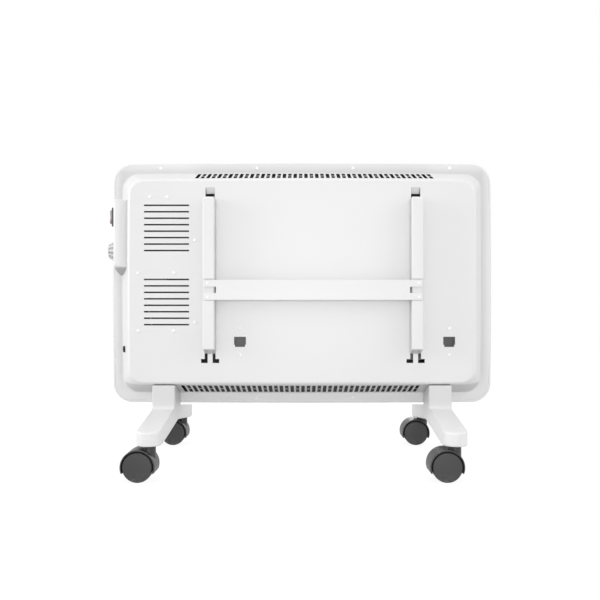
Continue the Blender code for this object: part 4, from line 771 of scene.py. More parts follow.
def slice_level(bm: BMesh, height: float, clear: bool = False) -> list[BMEdge]:
    """Cut every face at a height.

    Args:
        bm: the mesh.
        height: where it is cut, in Z.
        clear: whether what is below goes.

    Returns:
        The edges along the cut.
    """
    made = bmesh.ops.bisect_plane(
        bm, geom=bm.verts[:] + bm.edges[:] + bm.faces[:], dist=WELD,
        plane_co=(0, 0, height), plane_no=(0, 0, -1), clear_outer=clear,
    )
    return [item for item in made["geom_cut"] if isinstance(item, BMEdge)]


def face_largest(bm: BMesh, way: int) -> None:
    """Turn a skin so that its largest face looks along Y, this way."""
    if max(bm.faces, key=lambda face: face.calc_area()).normal.y * way < 0:
        bmesh.ops.reverse_faces(bm, faces=bm.faces)


def add_plate(bm: BMesh, half: Point, radius: float, arc: int = 14, runs: int = 12) -> BMFace:
    """A flat rounded rectangle across X and Z, round the origin.

    Args:
        bm: an empty mesh.
        half: its half width and half height.
        radius: its corner radius.
        arc: steps of each corner.
        runs: cuts of each long side.

    Returns:
        The face.
    """
    corners = ((1, -1), (1, 1), (-1, 1), (-1, -1))
    verts = [bm.verts.new((half[0] * x, 0, half[1] * z)) for x, z in corners]
    bm.faces.new(verts)
    bmesh.ops.bevel(
        bm, geom=verts, offset=radius, segments=arc, profile=0.5, affect="VERTICES", material=-1
    )
    long_sides = [edge for edge in bm.edges if edge.calc_length() > radius]
    bmesh.ops.subdivide_edges(bm, edges=long_sides, cuts=runs)
    return bm.faces[:][0]


def push(
    bm: BMesh,
    face: BMFace,
    shift: float | Sequence[float],
    scale: Point = (1, 1),
    keep: bool = False,
) -> tuple[BMFace, list[BMEdge]]:
    """Extrude a face, scale it across X and Z about the origin, and shift it.

    Args:
        bm: the mesh.
        face: the face to extrude.
        shift: how far the new face is moved, along Y if it is one number.
        scale: factors across and up.
        keep: whether the old face stays, as the other end of a closed body.

    Returns:
        The new face, and the edges that the old face had.
    """
    ring = list(face.edges)
    grown = bmesh.ops.extrude_face_region(bm, geom=[face])["geom"]
    new_face = next(item for item in grown if isinstance(item, BMFace))
    verts = list(new_face.verts)
    way = Vector(shift) if isinstance(shift, Sequence) else Vector((0, shift, 0))
    bmesh.ops.scale(bm, vec=(scale[0], 1, scale[1]), verts=verts)
    bmesh.ops.translate(bm, vec=way, verts=verts)
    if not keep:
        bmesh.ops.delete(bm, geom=[face], context="FACES_ONLY")
    return new_face, ring


def bow_sides(bm: BMesh, half: Point, amount: float) -> None:
    """Push the sides of a mesh round the origin out in the middle, as pressed sheet springs.

    Args:
        bm: the mesh.
        half: its half width and half height.
        amount: how far the middle of a side moves.
    """
    for vert in bm.verts:
        x, _, z = vert.co
        vert.co.x += amount * max(0.0, 1 - (z / half[1]) ** 2) * x / half[0]
        vert.co.z += amount * max(0.0, 1 - (x / half[0]) ** 2) * z / half[1]


# Working on objects

def add_object(name: str, data: bpy.types.ID) -> bpy.types.Object:
    """An object of these data in the scene.

    Args:
        name: the object's name.
        data: its mesh, lamp or camera.

    Returns:
        The object.
    """
    obj = bpy.data.objects.new(name, data)
    bpy.context.scene.collection.objects.link(obj)
    return obj


def stand(name: str, bm: BMesh, shift: Sequence[float] = (0, 0, 0)) -> bpy.types.Object:
    """The bmesh as an object of the scene, moved into place.

    Args:
        name: the object's name.
        bm: its shape, freed afterwards.
        shift: how far the shape is moved.

    Returns:
        The object.
    """
    bmesh.ops.translate(bm, vec=Vector(shift), verts=bm.verts)
    mesh = bpy.data.meshes.new(name)
    bm.to_mesh(mesh)
    bm.free()
    return add_object(name, mesh)


def modify(obj: bpy.types.Object, kind: str, **settings: object) -> None:
    """Put a modifier with these settings on an object and apply it.

    Args:
        obj: the object.
        kind: the modifier's type.
        settings: the modifier's properties.
    """
    modifier = obj.modifiers.new(kind.lower(), kind)
    for key, value in settings.items():
        setattr(modifier, key, value)
    graph = bpy.context.evaluated_depsgraph_get()
    mesh = bpy.data.meshes.new_from_object(
        obj.evaluated_get(graph), preserve_all_data_layers=True, depsgraph=graph
    )
    obj.modifiers.clear()
    obj.data = mesh


def thicken(obj: bpy.types.Object, sheet: float) -> None:
    """Give an open skin a wall of this thickness behind its faces."""
    modify(obj, "SOLIDIFY", thickness=sheet, offset=-1, use_even_offset=True)


def cut(obj: bpy.types.Object, cutters: BMesh) -> None:
    """Cut the cutters' shapes out of an object.

    Args:
        obj: the object.
        cutters: closed shapes, freed afterwards.
    """
    bmesh.ops.recalc_face_normals(cutters, faces=cutters.faces)
    tool = stand("cutter", cutters)
    modify(obj, "BOOLEAN", object=tool, solver="EXACT")
    bpy.data.objects.remove(tool)


def round_off(obj: bpy.types.Object, width: float, segments: int, degrees: float = 32) -> None:
    """Round every fold of an object that is sharper than an angle."""
    angle = math.radians(degrees)
    modify(obj, "BEVEL", width=width, segments=segments, limit_method="ANGLE", angle_limit=angle)


def show(
    obj: bpy.types.Object, coat: Coats | Finish, body: str = "heater", replaces: Sequence[str] = ()
) -> None:
    """Shade, paint and hang a finished piece.

    Args:
        obj: the piece, in place.
        coat: its finish.
        body: the body that it rides on.
        replaces: the nodes that it stands for.
    """
    finish = coat.value if isinstance(coat, Coats) else coat
    obj.data.shade_smooth()
    obj.data.set_sharp_from_angle(angle=SHARP)
    modify(obj, "WEIGHTED_NORMAL", keep_sharp=True)
    obj.data.materials.clear()
    obj.data.materials.append(finish.material())
    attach(obj, body)
    if replaces:
        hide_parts(*replaces)
    log.info("%s rides on %s", obj.name, body)


def dress(node: str, coat: Coats) -> None:
    """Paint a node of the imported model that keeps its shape.

    Args:
        node: the node's name.
        coat: its finish.
    """
    obj = frame["nodes"][node]
    obj.data.materials.clear()
    obj.data.materials.append(coat.value.material())
    log.info("%s keeps its shape", node)


# The heater's body

@dataclass(frozen=True)
class Case:
    """The sizes that the panel and the rear casing share, as the folded sheets have them."""

    border: float = 0.017
    depth: float = 0.056
    side_draft: float = 0.023
    top_draft: float = 0.0205
    bow: float = 0.0016
    sheet: float = 0.001

    @property
    def centre(self) -> Vector:
        """The middle of the panel, in the flange's plane."""
        panel = Box.of("front_panel")
        return Vector((panel.centre.x, panel.high.y, panel.centre.z))

    @property
    def panel_half(self) -> Point:
        """Half the panel's width and height."""
        size = Box.of("front_panel").size
        return size.x / 2, size.z / 2

    @property
    def base_half(self) -> Point:
        """Half the casing's width and height at its flange."""
        across, up = self.panel_half
        return across - self.border, up - self.border

    @property
    def face_half(self) -> Point:
        """Half the rear face's width and height."""
        across, up = self.base_half
        return across - self.side_draft, up - self.top_draft

    @property
    def face_y(self) -> float:
        """The plane of the rear face."""
        return self.centre.y + self.depth

    def straight(self, half: Point, margin: float = 0.0) -> Point:
        """Half sizes less the bow and a margin, as they are at the corners."""
        return half[0] - margin - self.bow, half[1] - margin - self.bow

    def wall_x(self, depth: float) -> float:
        """The right wall's outer face at a depth behind the flange."""
        return self.base_half[0] - self.side_draft * depth / self.depth

    def floor_z(self, depth: float, across: float) -> float:
        """The bottom wall's outer face at a depth and a place across, above the floor.

        Args:
            depth: the distance behind the flange.
            across: the place in X, from the middle.

        Returns:
            The height, in Z.
        """
        share = depth / self.depth
        half = self.base_half[0] - self.side_draft * share - self.bow
        bowed = self.bow * (across / half) ** 2
        return self.centre.z - self.base_half[1] + self.top_draft * share + bowed

    def on_face(self, across_share: float, up_share: float) -> Point:
        """A place on the rear face from shares of its half sizes."""
        return self.face_half[0] * across_share, self.centre.z + self.face_half[1] * up_share


@dataclass
class FrontPanel:
    """The folded tray: front face, rolled edge, rim and lip."""

    case: Case
    corner: float = 0.032
    sheet: float = 0.0012
    rim: float = 0.004
    lip: float = 0.0115
    lip_step: float = 0.0013
    front_roll: float = 0.005
    rear_roll: float = 0.0019
    rim_roll: float = 0.0002

    def build(self) -> None:
        """Make and hang the tray."""
        case, depth = self.case, Box.of("front_panel").size.y
        half = case.straight(case.panel_half)
        bm = bmesh.new()
        plate = add_plate(bm, half, self.corner)
        face_largest(bm, 1)
        _, rear_ring = push(bm, plate, -depth, keep=True)
        inset(bm, plate, self.rim)
        rear, rim_ring = push(bm, plate, -self.lip_step)
        inset(bm, rear, self.lip)
        bmesh.ops.delete(bm, geom=[rear], context="FACES_ONLY")
        bmesh.ops.recalc_face_normals(bm, faces=bm.faces)
        front_ring = folds(bm, lambda edge: abs(middle_of(edge).y + depth) < WELD)
        soften(bm, front_ring, self.front_roll, 7)
        soften(bm, rear_ring, self.rear_roll, 10)
        soften(bm, rim_ring, self.rim_roll, 2)
        bow_sides(bm, half, case.bow)
        face_largest(bm, -1)
        tray = stand("panel_tray", bm, case.centre)
        thicken(tray, self.sheet)
        coat = OuterCoat.like(
            Coats.WHITE_PAINT,
            "panel powder coat",
            heart=tuple(case.centre - Vector((0, depth / 2, 0))),
            rim_y=case.centre.y - self.lip_step - self.sheet / 2,
        )
        show(tray, coat, replaces=["front_panel"])


@dataclass
class RearCasing:
    """The pressed pan with its vents, louvres and openings."""

    case: Case
    seam: float = 0.00004
    skin: float = 0.0005
    rim: float = 0.004
    flange_corner: float = 0.0277
    base_roll: float = 0.002
    face_roll: float = 0.0034
    heart_depth: float = 0.02
    vent_count: int = 44
    vent_run_share: float = 0.6313
    vent_slot_share: float = 0.64
    vent_start_share: float = 0.07
    vent_end_share: float = 0.81
    vent_bridge: float = 0.0008
    top_vent_shift_share: float = -0.066
    bottom_vent_shift_share: float = 0.009
    louvre_count: int = 8
    louvre_length: float = 0.0724
    louvre_slot: float = 0.0025
    louvre_pitch: float = 0.0104
    louvre_x_share: float = 0.7786
    louvre_top_shares: Point = (0.7447, 0.0217)
    support_width: float = 0.0191
    support_height: float = 0.0164
    support_notch: float = 0.0015
    support_notch_rise: float = 0.0035
    hook_width: float = 0.0147
    hook_rise: float = 0.0179
    hook_drop: float = 0.0021
    latch_inner: float = 0.004
    latch_outer: float = 0.0087
    latch_toe: float = 0.0146
    latch_toe_height: float = 0.0065
    latch_foot: float = 0.0085
    latch_drop: float = 0.0235
    latch_rise: float = 0.013
    tab_depth: float = 0.0045
    tab_slot: float = 0.0084

    def build(self) -> None:
        """Make the pan, cut its openings and add its pressed tabs."""
        case = self.case
        flange_half = case.straight(case.panel_half, self.rim + self.seam)
        base_half, face_half = case.straight(case.base_half), case.straight(case.face_half)
        to_base = tuple(base / edge for base, edge in zip(base_half, flange_half))
        to_face = tuple(face / base for face, base in zip(face_half, base_half))
        bm = bmesh.new()
        base, _ = push(bm, add_plate(bm, flange_half, self.flange_corner), 0, to_base)
        face, base_ring = push(bm, base, case.depth, to_face)
        soften(bm, list(face.edges), self.face_roll, 7)
        soften(bm, base_ring, self.base_roll, 4)
        bow_sides(bm, base_half, case.bow)
        bmesh.ops.recalc_face_normals(bm, faces=bm.faces)
        face_largest(bm, 1)
        shell = stand("casing_shell", bm, case.centre)
        thicken(shell, self.skin)
        cut(shell, self.vents())
        cut(shell, self.openings())
        coat = SeamedCoat.like(
            Coats.WHITE_PAINT,
            "casing powder coat",
            heart=tuple(case.centre - Vector((0, self.heart_depth, 0))),
            centre=tuple(case.centre),
            half=case.base_half,
            draft=case.top_draft,
        )
        show(shell, coat, replaces=["rear_casing"])
        for side in SIDES:
            self.build_tab(side)

    def vents(self) -> BMesh:
        """Cutters for both vent rows: every second slot has a bridge.

        Returns:
            A mesh of blocks.
        """
        case, centre = self.case, self.case.centre
        run = self.vent_run_share * 2 * case.base_half[0]
        pitch = run / (self.vent_count - 1)
        half_slot, bridge = self.vent_slot_share * pitch / 2, self.vent_bridge / 2
        start = centre.y + self.vent_start_share * case.depth
        end = centre.y + self.vent_end_share * case.depth
        middle = (start + end) / 2
        low, high = case.face_half[1] - OVERRUN, case.base_half[1] + OVERRUN
        bm = bmesh.new()
        for side, share in ((1, self.top_vent_shift_share), (-1, self.bottom_vent_shift_share)):
            bottom, top = sorted((centre.z + side * low, centre.z + side * high))
            for index in range(self.vent_count):
                x = share * case.base_half[0] - run / 2 + pitch * index
                spans = [(start, end)]
                if index % 2 == 0:
                    spans = [(start, middle - bridge), (middle + bridge, end)]
                for near, far in spans:
                    add_block(bm, (x - half_slot, near, bottom), (x + half_slot, far, top))
        return bm

    def openings(self) -> BMesh:
        """Cutters for the rear face: louvres, support ends, hook openings and latch slots.

        Returns:
            A mesh of closed shapes.
        """
        case = self.case
        near, depth = case.face_y - case.sheet - OVERRUN, case.sheet + 2 * OVERRUN
        bm = bmesh.new()

        def window(x: float, width: float, bottom: float, top: float) -> None:
            """Cut a rectangle through the rear sheet."""
            add_block(bm, (x - width / 2, near, bottom), (x + width / 2, near + depth, top))

        for share in self.louvre_top_shares:
            x, top = case.on_face(self.louvre_x_share, share)
            for index in range(self.louvre_count):
                z, rise = top - self.louvre_pitch * index, self.louvre_slot / 2
                window(x, self.louvre_length, z - rise, z + rise)
        for side in SIDES:
            support = Box.of(f"element_support_{side}").centre
            notched = [(support.x + x, near, support.z + z) for x, z in self.support_outline()]
            add_sweep(bm, notched, (0, depth, 0))
            channel = Box.of(f"bracket_channel_{side}")
            top = channel.high.z - HOOK_TIP
            window(channel.centre.x, self.hook_width, top - self.hook_drop, top + self.hook_rise)
            for way in (-1, 1):
                latch = [(channel.centre.x + way * x, near, z) for x, z in self.latch(channel)]
                add_sweep(bm, latch, (0, depth, 0))
        return bm

    def support_outline(self) -> list[Point]:
        """The notched square of a support's opening, round its middle.

        Returns:
            Its corners, as X and Z.
        """
        across, up = self.support_width / 2, self.support_height / 2
        waist, step = across - self.support_notch, self.support_notch_rise - up
        left = [(-across, up), (-across, step), (-waist, step), (-waist, -up)]
        return left + [(-x, z) for x, z in reversed(left)]

    def latch(self, channel: Box) -> list[Point]:
        """One L-shaped latch slot, outwards from the channel's middle and up.

        Args:
            channel: the channel's box.

        Returns:
            Its corners, as X and Z.
        """
        bottom = channel.low.z + self.latch_foot - self.latch_drop
        toe = bottom + self.latch_toe_height
        inner, outer, top = self.latch_inner, self.latch_outer, toe + self.latch_rise
        foot = [(inner, bottom), (self.latch_toe, bottom), (self.latch_toe, toe)]
        return [*foot, (outer, toe), (outer, top), (inner, top)]

    def build_tab(self, side: str) -> None:
        """The tab pressed inwards above a hook opening.

        Args:
            side: the channel's side.
        """
        channel = Box.of(f"bracket_channel_{side}")
        top = channel.high.z - HOOK_TIP
        low, high = top + self.tab_slot, top + self.hook_rise
        face, depth = self.case.face_y - FIT, self.tab_depth
        inner = face - self.case.sheet
        outline = [(face, high), (inner, high), (inner - depth, low), (face - depth, low)]
        left = channel.centre.x - self.hook_width / 2 + FIT
        bm = bmesh.new()
        add_sweep(bm, [(left, y, z) for y, z in outline], (self.hook_width - 2 * FIT, 0, 0))
        tab = stand(f"hook_tab_{side}", bm)
        round_off(tab, FIT, 2)
        show(tab, Coats.WHITE_PAINT)


@dataclass
class Screws:
    """Domed screws with a cross recess, on the border and on the rear face."""

    case: Case
    radius: float = 0.0026
    rise: float = 0.0015
    shoulder: float = 0.0005
    recess: float = 0.0004
    recess_width: float = 0.0004
    recess_reach: float = 0.0010
    turn: float = 2.4
    border_count: int = 6
    carrier_margin: float = 0.0055
    support_margin: float = 0.0042
    partition_x: float = 0.0071
    partition_shares: Point = (0.406, -0.398)

    def head(self) -> bpy.types.Object:
        """One head, standing on the origin along Y.

        Returns:
            The head, from which the others are copied.
        """
        height = self.rise - self.shoulder
        dome = [(self.radius * cos, self.shoulder + height * sin) for cos, sin in quarter(5)[:-1]]
        bm = bmesh.new()
        profile = [(0, 0), (self.radius, 0), *dome, (0, self.rise)]
        add_turned(bm, profile, (0, 0, 0), (0, 1, 0), 24)
        head = stand("head", bm)
        half, reach = self.recess_width / 2, self.recess_reach
        arm = [(half, reach), (-half, reach), (-half, half)]
        cross = []
        for _ in range(4):
            cross += [(x, self.rise - self.recess, z) for x, z in arm]
            arm = [(-z, x) for x, z in arm]
        slots = bmesh.new()
        add_sweep(slots, cross, (0, 2 * self.recess, 0))
        cut(head, slots)
        return head

    def seats(self) -> list[tuple[str, Place, list[str]]]:
        """Each screw's name, its seat, and the node that it replaces on the border.

        Returns:
            A name, a place and the replaced nodes for each screw.
        """
        seats = []
        for number in range(1, self.border_count + 1):
            node = f"panel_screw_{number}"
            place = Box.of(node).centre
            seat = (place.x, self.case.centre.y, place.z)
            seats.append((f"border_screw_{number}", seat, [node]))
        for number, (x, z) in enumerate(self.face_places(), 1):
            seats.append((f"face_screw_{number}", (x, self.case.face_y, z), []))
        return seats

    def face_places(self) -> list[Point]:
        """Where the twelve screws of the rear face stand, from the parts that they hold.

        Returns:
            Their places in X and Z.
        """
        places = []
        for node in ("harness_clip", "tip_over_switch", "terminal_block"):
            box = Box.of(node)
            ends = (box.low.x + self.carrier_margin, box.high.x - self.carrier_margin)
            places += [(x, box.centre.z) for x in ends]
        for side in SIDES:
            box = Box.of(f"element_support_{side}")
            reach = box.size.z / 2 - self.support_margin
            places += [(box.centre.x, box.centre.z + way * reach) for way in (1, -1)]
        x = Box.of("compartment_partition").low.x + self.partition_x
        return places + [(x, self.case.on_face(0, share)[1]) for share in self.partition_shares]

    def build(self) -> None:
        """Stand a head on every seat."""
        head = self.head()
        for index, (name, seat, replaced) in enumerate(self.seats()):
            mesh = head.data.copy()
            mesh.transform(Matrix.Translation(seat) @ Matrix.Rotation(index * self.turn, 4, "Y"))
            show(add_object(name, mesh), Coats.SCREW_HIGHLIGHT_PAINT, replaces=replaced)
        bpy.data.objects.remove(head)


# Controls

@dataclass
class ControlBox:
    """The moulded cover on the right wall."""

    case: Case
    wall: float = 0.0018
    rear_wall: float = 0.0108
    round_edge: float = 0.0042
    cap_round_share: float = 0.8
    cap_fold: float = math.radians(40)
    cap_margin: float = 0.002
    side_margin: float = 0.0005
    crown: float = 0.0090
    slant: float = 0.0116
    toe: float = 0.004
    nib: float = 0.0014
    parting: float = 0.0004
    port_margin: float = 0.0008
    bush_radius: float = 0.0048
    film: float = 0.56

    def plan(self, box: Box) -> list[Point]:
        """The cover's section across, outer side first, with a pillowed rear side.

        Args:
            box: the cover's box.

        Returns:
            Its corners, as X and Y.
        """
        case, side, rear, edge = self.case, box.high.x, box.high.y, self.round_edge
        rounding = [(side - edge * (1 - cos), rear - edge * (1 - sin)) for cos, sin in quarter(6)]
        start = rounding[-1][0]
        width = case.wall_x(rear - case.centre.y) + FIT - start
        crown = [
            (start + width * share, rear - self.crown * share**2)
            for share in (0.2, 0.4, 0.6, 0.8, 1.0)
        ]
        toe = (case.wall_x(self.toe) + FIT, case.centre.y + self.toe)
        return [(side - self.nib, box.low.y), (side, box.low.y), *rounding, *crown, toe]

    def build(self) -> None:
        """Make, hollow and open the cover."""
        box, flange = Box.of("control_box"), self.case.centre.y
        depth = box.high.y - flange
        bottom = box.low.z + self.slant
        middle = (bottom + box.high.z) / 2
        bm = bmesh.new()
        add_sweep(bm, [(x, y, bottom) for x, y in self.plan(box)], (0, 0, box.high.z - bottom))
        for vert in bm.verts:
            if vert.co.z < middle:
                vert.co.z -= self.slant * (1 - (vert.co.y - flange) / depth)
        caps = folds(bm, lambda edge: self.on_cap(edge, box), self.cap_fold)
        soften(bm, caps, self.round_edge * self.cap_round_share, 5)
        cover = stand("control_cover", bm)
        hollow = bmesh.new()
        low = (self.case.wall_x(depth) - OVERRUN, flange + self.toe, bottom + self.wall)
        add_block(hollow, low, box.high - Vector((self.wall, self.rear_wall, self.wall)))
        cut(cover, hollow)
        cut(cover, self.ports(box))
        # Painted shade: the cover darkens towards its slanted underside.
        coat = Sheltered.over(
            Coats.WHITE_MOULDING,
            "cover moulding",
            axis="Z",
            clean=bottom + self.parting,
            dusty=bottom - self.slant / 4,
            film=self.film,
        )
        show(cover, coat, replaces=["control_box"])

    def on_cap(self, edge: BMEdge, box: Box) -> bool:
        """Whether an edge bounds the cover's top or bottom on its outer or rear side.

        Args:
            edge: the edge.
            box: the cover's box.

        Returns:
            The answer.
        """
        case, middle = self.case, middle_of(edge)
        level = abs(edge.verts[0].co.z - edge.verts[1].co.z) < self.slant / 2
        outside = middle.x > case.wall_x(box.high.y - case.centre.y) + self.cap_margin
        rear = middle.y > case.centre.y + self.toe
        return level and (rear and outside or middle.x > box.high.x - self.side_margin)

    def ports(self, box: Box) -> BMesh:
        """Cutters for the switch and the thermostat's bush.

        Args:
            box: the cover's box.

        Returns:
            A mesh of closed shapes.
        """
        near, far = box.high.x - 2 * self.wall, box.high.x + OVERRUN
        switch, knob = Box.of("switch_body"), Box.of("thermostat_knob").centre
        margin = self.port_margin
        bm = bmesh.new()
        low = (near, switch.low.y + margin, switch.low.z + margin)
        add_block(bm, low, (far, switch.high.y - margin, switch.high.z - margin))
        add_rod(bm, (near, knob.y, knob.z), (far, knob.y, knob.z), self.bush_radius)
        return bm


@dataclass
class Switch:
    """The rocker switch: a frame with a pocket, and the two-tone rocker cap."""

    rim: float = 0.0024
    flange: float = 0.0058
    pocket: float = 0.008
    body_margin: float = 0.001
    mouth_round: float = 0.0004
    frame_round: float = 0.0009
    cap_round: float = 0.0006
    cap_rise: float = 0.0038
    pivot_sink: float = 0.0035
    below_pivot: float = 0.0022
    crest_share: float = 0.80
    dish: float = 0.0006
    pin: float = 0.0008
    grey: Colour = (0.36, 0.355, 0.36)
    warm: Colour = (0.24, 0.155, 0.165)
    gloss: float = 0.28

    def build(self) -> None:
        """Make the frame and the cap."""
        box = Box.of("switch_body")
        seat = box.high.x - self.flange
        bm = bmesh.new()
        add_block(bm, (seat, box.low.y, box.low.z), box.high)
        soften(bm, folds(bm, lambda edge: middle_of(edge).x > seat + WELD), self.frame_round, 4)
        face = max(bm.faces, key=lambda item: item.calc_center_median().x)
        back = min(bm.faces, key=lambda item: item.calc_center_median().x)
        inset(bm, face, self.rim - self.frame_round)
        inset(bm, back, self.body_margin)
        push(bm, back, (self.flange - box.size.x, 0, 0))
        _, ring = push(bm, face, (-self.pocket, 0, 0))
        soften(bm, ring, self.mouth_round, 2)
        bmesh.ops.recalc_face_normals(bm, faces=bm.faces)
        show(stand("switch_frame", bm), Coats.BLACK_MOULDING, replaces=["switch_body"])
        self.build_cap(box.high.x - self.pivot_sink)

    def build_cap(self, pivot: float) -> None:
        """The rocker cap, with a shallow dish between its two crests, over its pivot in X.

        Args:
            pivot: the rocker's pivot, in X.
        """
        cap = Box.of("switch_rocker")
        middle, half = cap.centre, cap.size.z / 2
        width = cap.size.y - 2 * self.pin
        crest = self.pivot_sink + self.cap_rise
        outline = [(-self.below_pivot, -half), (self.pivot_sink, -half)]
        for step in range(-4, 5):
            share = step / 4
            sunk = self.dish * math.cos(math.pi / 2 * share)
            outline.append((crest - sunk, half * self.crest_share * share))
        outline += [(self.pivot_sink, half), (-self.below_pivot, half)]
        bm = bmesh.new()
        side = middle.y - width / 2
        corners = [(pivot + x, side, middle.z + z) for x, z in outline]
        add_sweep(bm, corners, (0, width, 0))
        obj = stand("rocker_cap", bm)
        round_off(obj, self.cap_round, 3)
        centre = (pivot, middle.y, middle.z - half / 3)
        settings = ("rocker gloss", "rocker_moulding", self.grey, self.gloss, self.warm, centre)
        show(obj, TwoToneGloss(*settings), "rocker", ["switch_rocker"])


@dataclass
class Knob:
    """The thermostat knob: a skirt, a ribbed grip and a pointer."""

    skirt: float = 0.0055
    grip_radius: float = 0.0136
    top_share: float = 0.94
    face_share: float = 0.62
    dish_share: float = 0.58
    dish: float = 0.0004
    edge: float = 0.001
    ribs: int = 12
    rib_depth: float = 0.0014
    pointer_start_share: float = 0.25
    pointer_width: float = 0.0014
    pointer_rise: float = 0.0003
    pointer_round: float = 0.00018

    def build(self) -> None:
        """Make the knob, and give the shaft its plating."""
        box = Box.of("thermostat_knob")
        centre = Vector((box.low.x, box.centre.y, box.centre.z))
        height = box.size.x - self.pointer_rise
        bm = bmesh.new()
        add_turned(bm, self.profile(box.size.z / 2, height), centre, (1, 0, 0), self.ribs * 8)
        for vert in bm.verts:
            self.press_rib(vert, centre, height)
        top, half = self.grip_radius * self.top_share, self.pointer_width / 2
        start = centre.z + top * self.pointer_start_share
        low = (centre.x + height - self.edge, centre.y - half, start)
        pointer = add_block(bm, low, (box.high.x, centre.y + half, centre.z + top - self.edge))
        edges = {edge for vert in pointer for edge in vert.link_edges}
        soften(bm, edges, self.pointer_round, 2)
        coat = RibbedMoulding.like(
            Coats.GREY_MOULDING,
            "knob moulding",
            pit_depth=Coats.GREY_MOULDING.value.pit_depth,
            centre=tuple(centre),
            ribs=self.ribs,
            height=height,
        )
        show(stand("knob_grip", bm), coat, "knob", ["thermostat_knob"])
        dress("thermostat_shaft", Coats.ZINC)

    def profile(self, radius: float, height: float) -> list[Point]:
        """Half the knob's section, from its back to its face.

        Args:
            radius: the skirt's radius.
            height: from the back to the face.

        Returns:
            Its points, as radius and height.
        """
        edge, skirt, grip = self.edge, self.skirt, self.grip_radius
        top = grip * self.top_share
        base = [(0, 0), (radius - edge / 2, 0), (radius, edge / 2), (radius, skirt - edge)]
        step = [(radius - edge / 3, skirt - edge / 3), (radius - edge, skirt)]
        wall = [(grip + edge / 2, skirt), (grip, skirt + edge / 2), (top, height - edge)]
        brow = [(top - edge / 3, height - edge / 3), (top - edge, height)]
        sunk = height - self.dish
        face = [(top * self.face_share, height), (top * self.dish_share, sunk), (0, sunk)]
        return base + step + wall + brow + face

    def press_rib(self, vert: BMVert, centre: Vector, height: float) -> None:
        """Move a corner of the grip in between two ribs.

        Args:
            vert: the corner.
            centre: the middle of the knob's back.
            height: from the back to the face.
        """
        offset = vert.co - centre
        radial = math.hypot(offset.y, offset.z)
        on_side = self.skirt + self.edge / 4 < offset.x < height - self.edge / 2
        if not on_side or radial < self.grip_radius * self.top_share - self.edge:
            return
        turn = math.atan2(offset.z, offset.y) * self.ribs
        factor = 1 - self.rib_depth * (0.5 - 0.5 * math.cos(turn)) / radial
        vert.co.y = centre.y + offset.y * factor
        vert.co.z = centre.z + offset.z * factor


@dataclass
class CordInlet:
    """The grommet of the cord inlet, with a thin ring and a dark bore."""

    radius: float = 0.0054
    neck: float = 0.0045
    bore: float = 0.0032
    bore_depth: float = 0.004
    lip: float = 0.0014
    crown: float = 0.0014
    depth: float = 0.005
    gap: float = 0.0001
    chamfer: float = 0.0003
    brow: tuple[Point, ...] = ((0.0, 0.7), (0.0004, 0.9), (0.001, 1.0))

    def build(self) -> None:
        """Make the grommet square to the wall."""
        mounts = {mount["name"]: mount for mount in frame["record"]["mounts"]}
        mount = mounts["supply_cord_inlet"]
        axis = Vector(mount["axis"]).normalized()
        radius, bore, top = self.radius, self.bore, self.lip + self.crown
        profile = [
            (0, -self.depth), (self.neck, -self.depth), (self.neck, self.gap), (radius, self.gap),
            *((radius - sink, top * share) for sink, share in self.brow),
            (bore + self.chamfer, top), (bore, top - self.chamfer),
            (bore, top - self.bore_depth), (0, top - self.bore_depth),
        ]
        bm = bmesh.new()
        add_turned(bm, profile, Vector(mount["pos_m"]) - axis * self.lip, axis)
        show(stand("inlet_grommet", bm), Coats.INLET_RUBBER, replaces=["cord_inlet"])


# Wall bracket

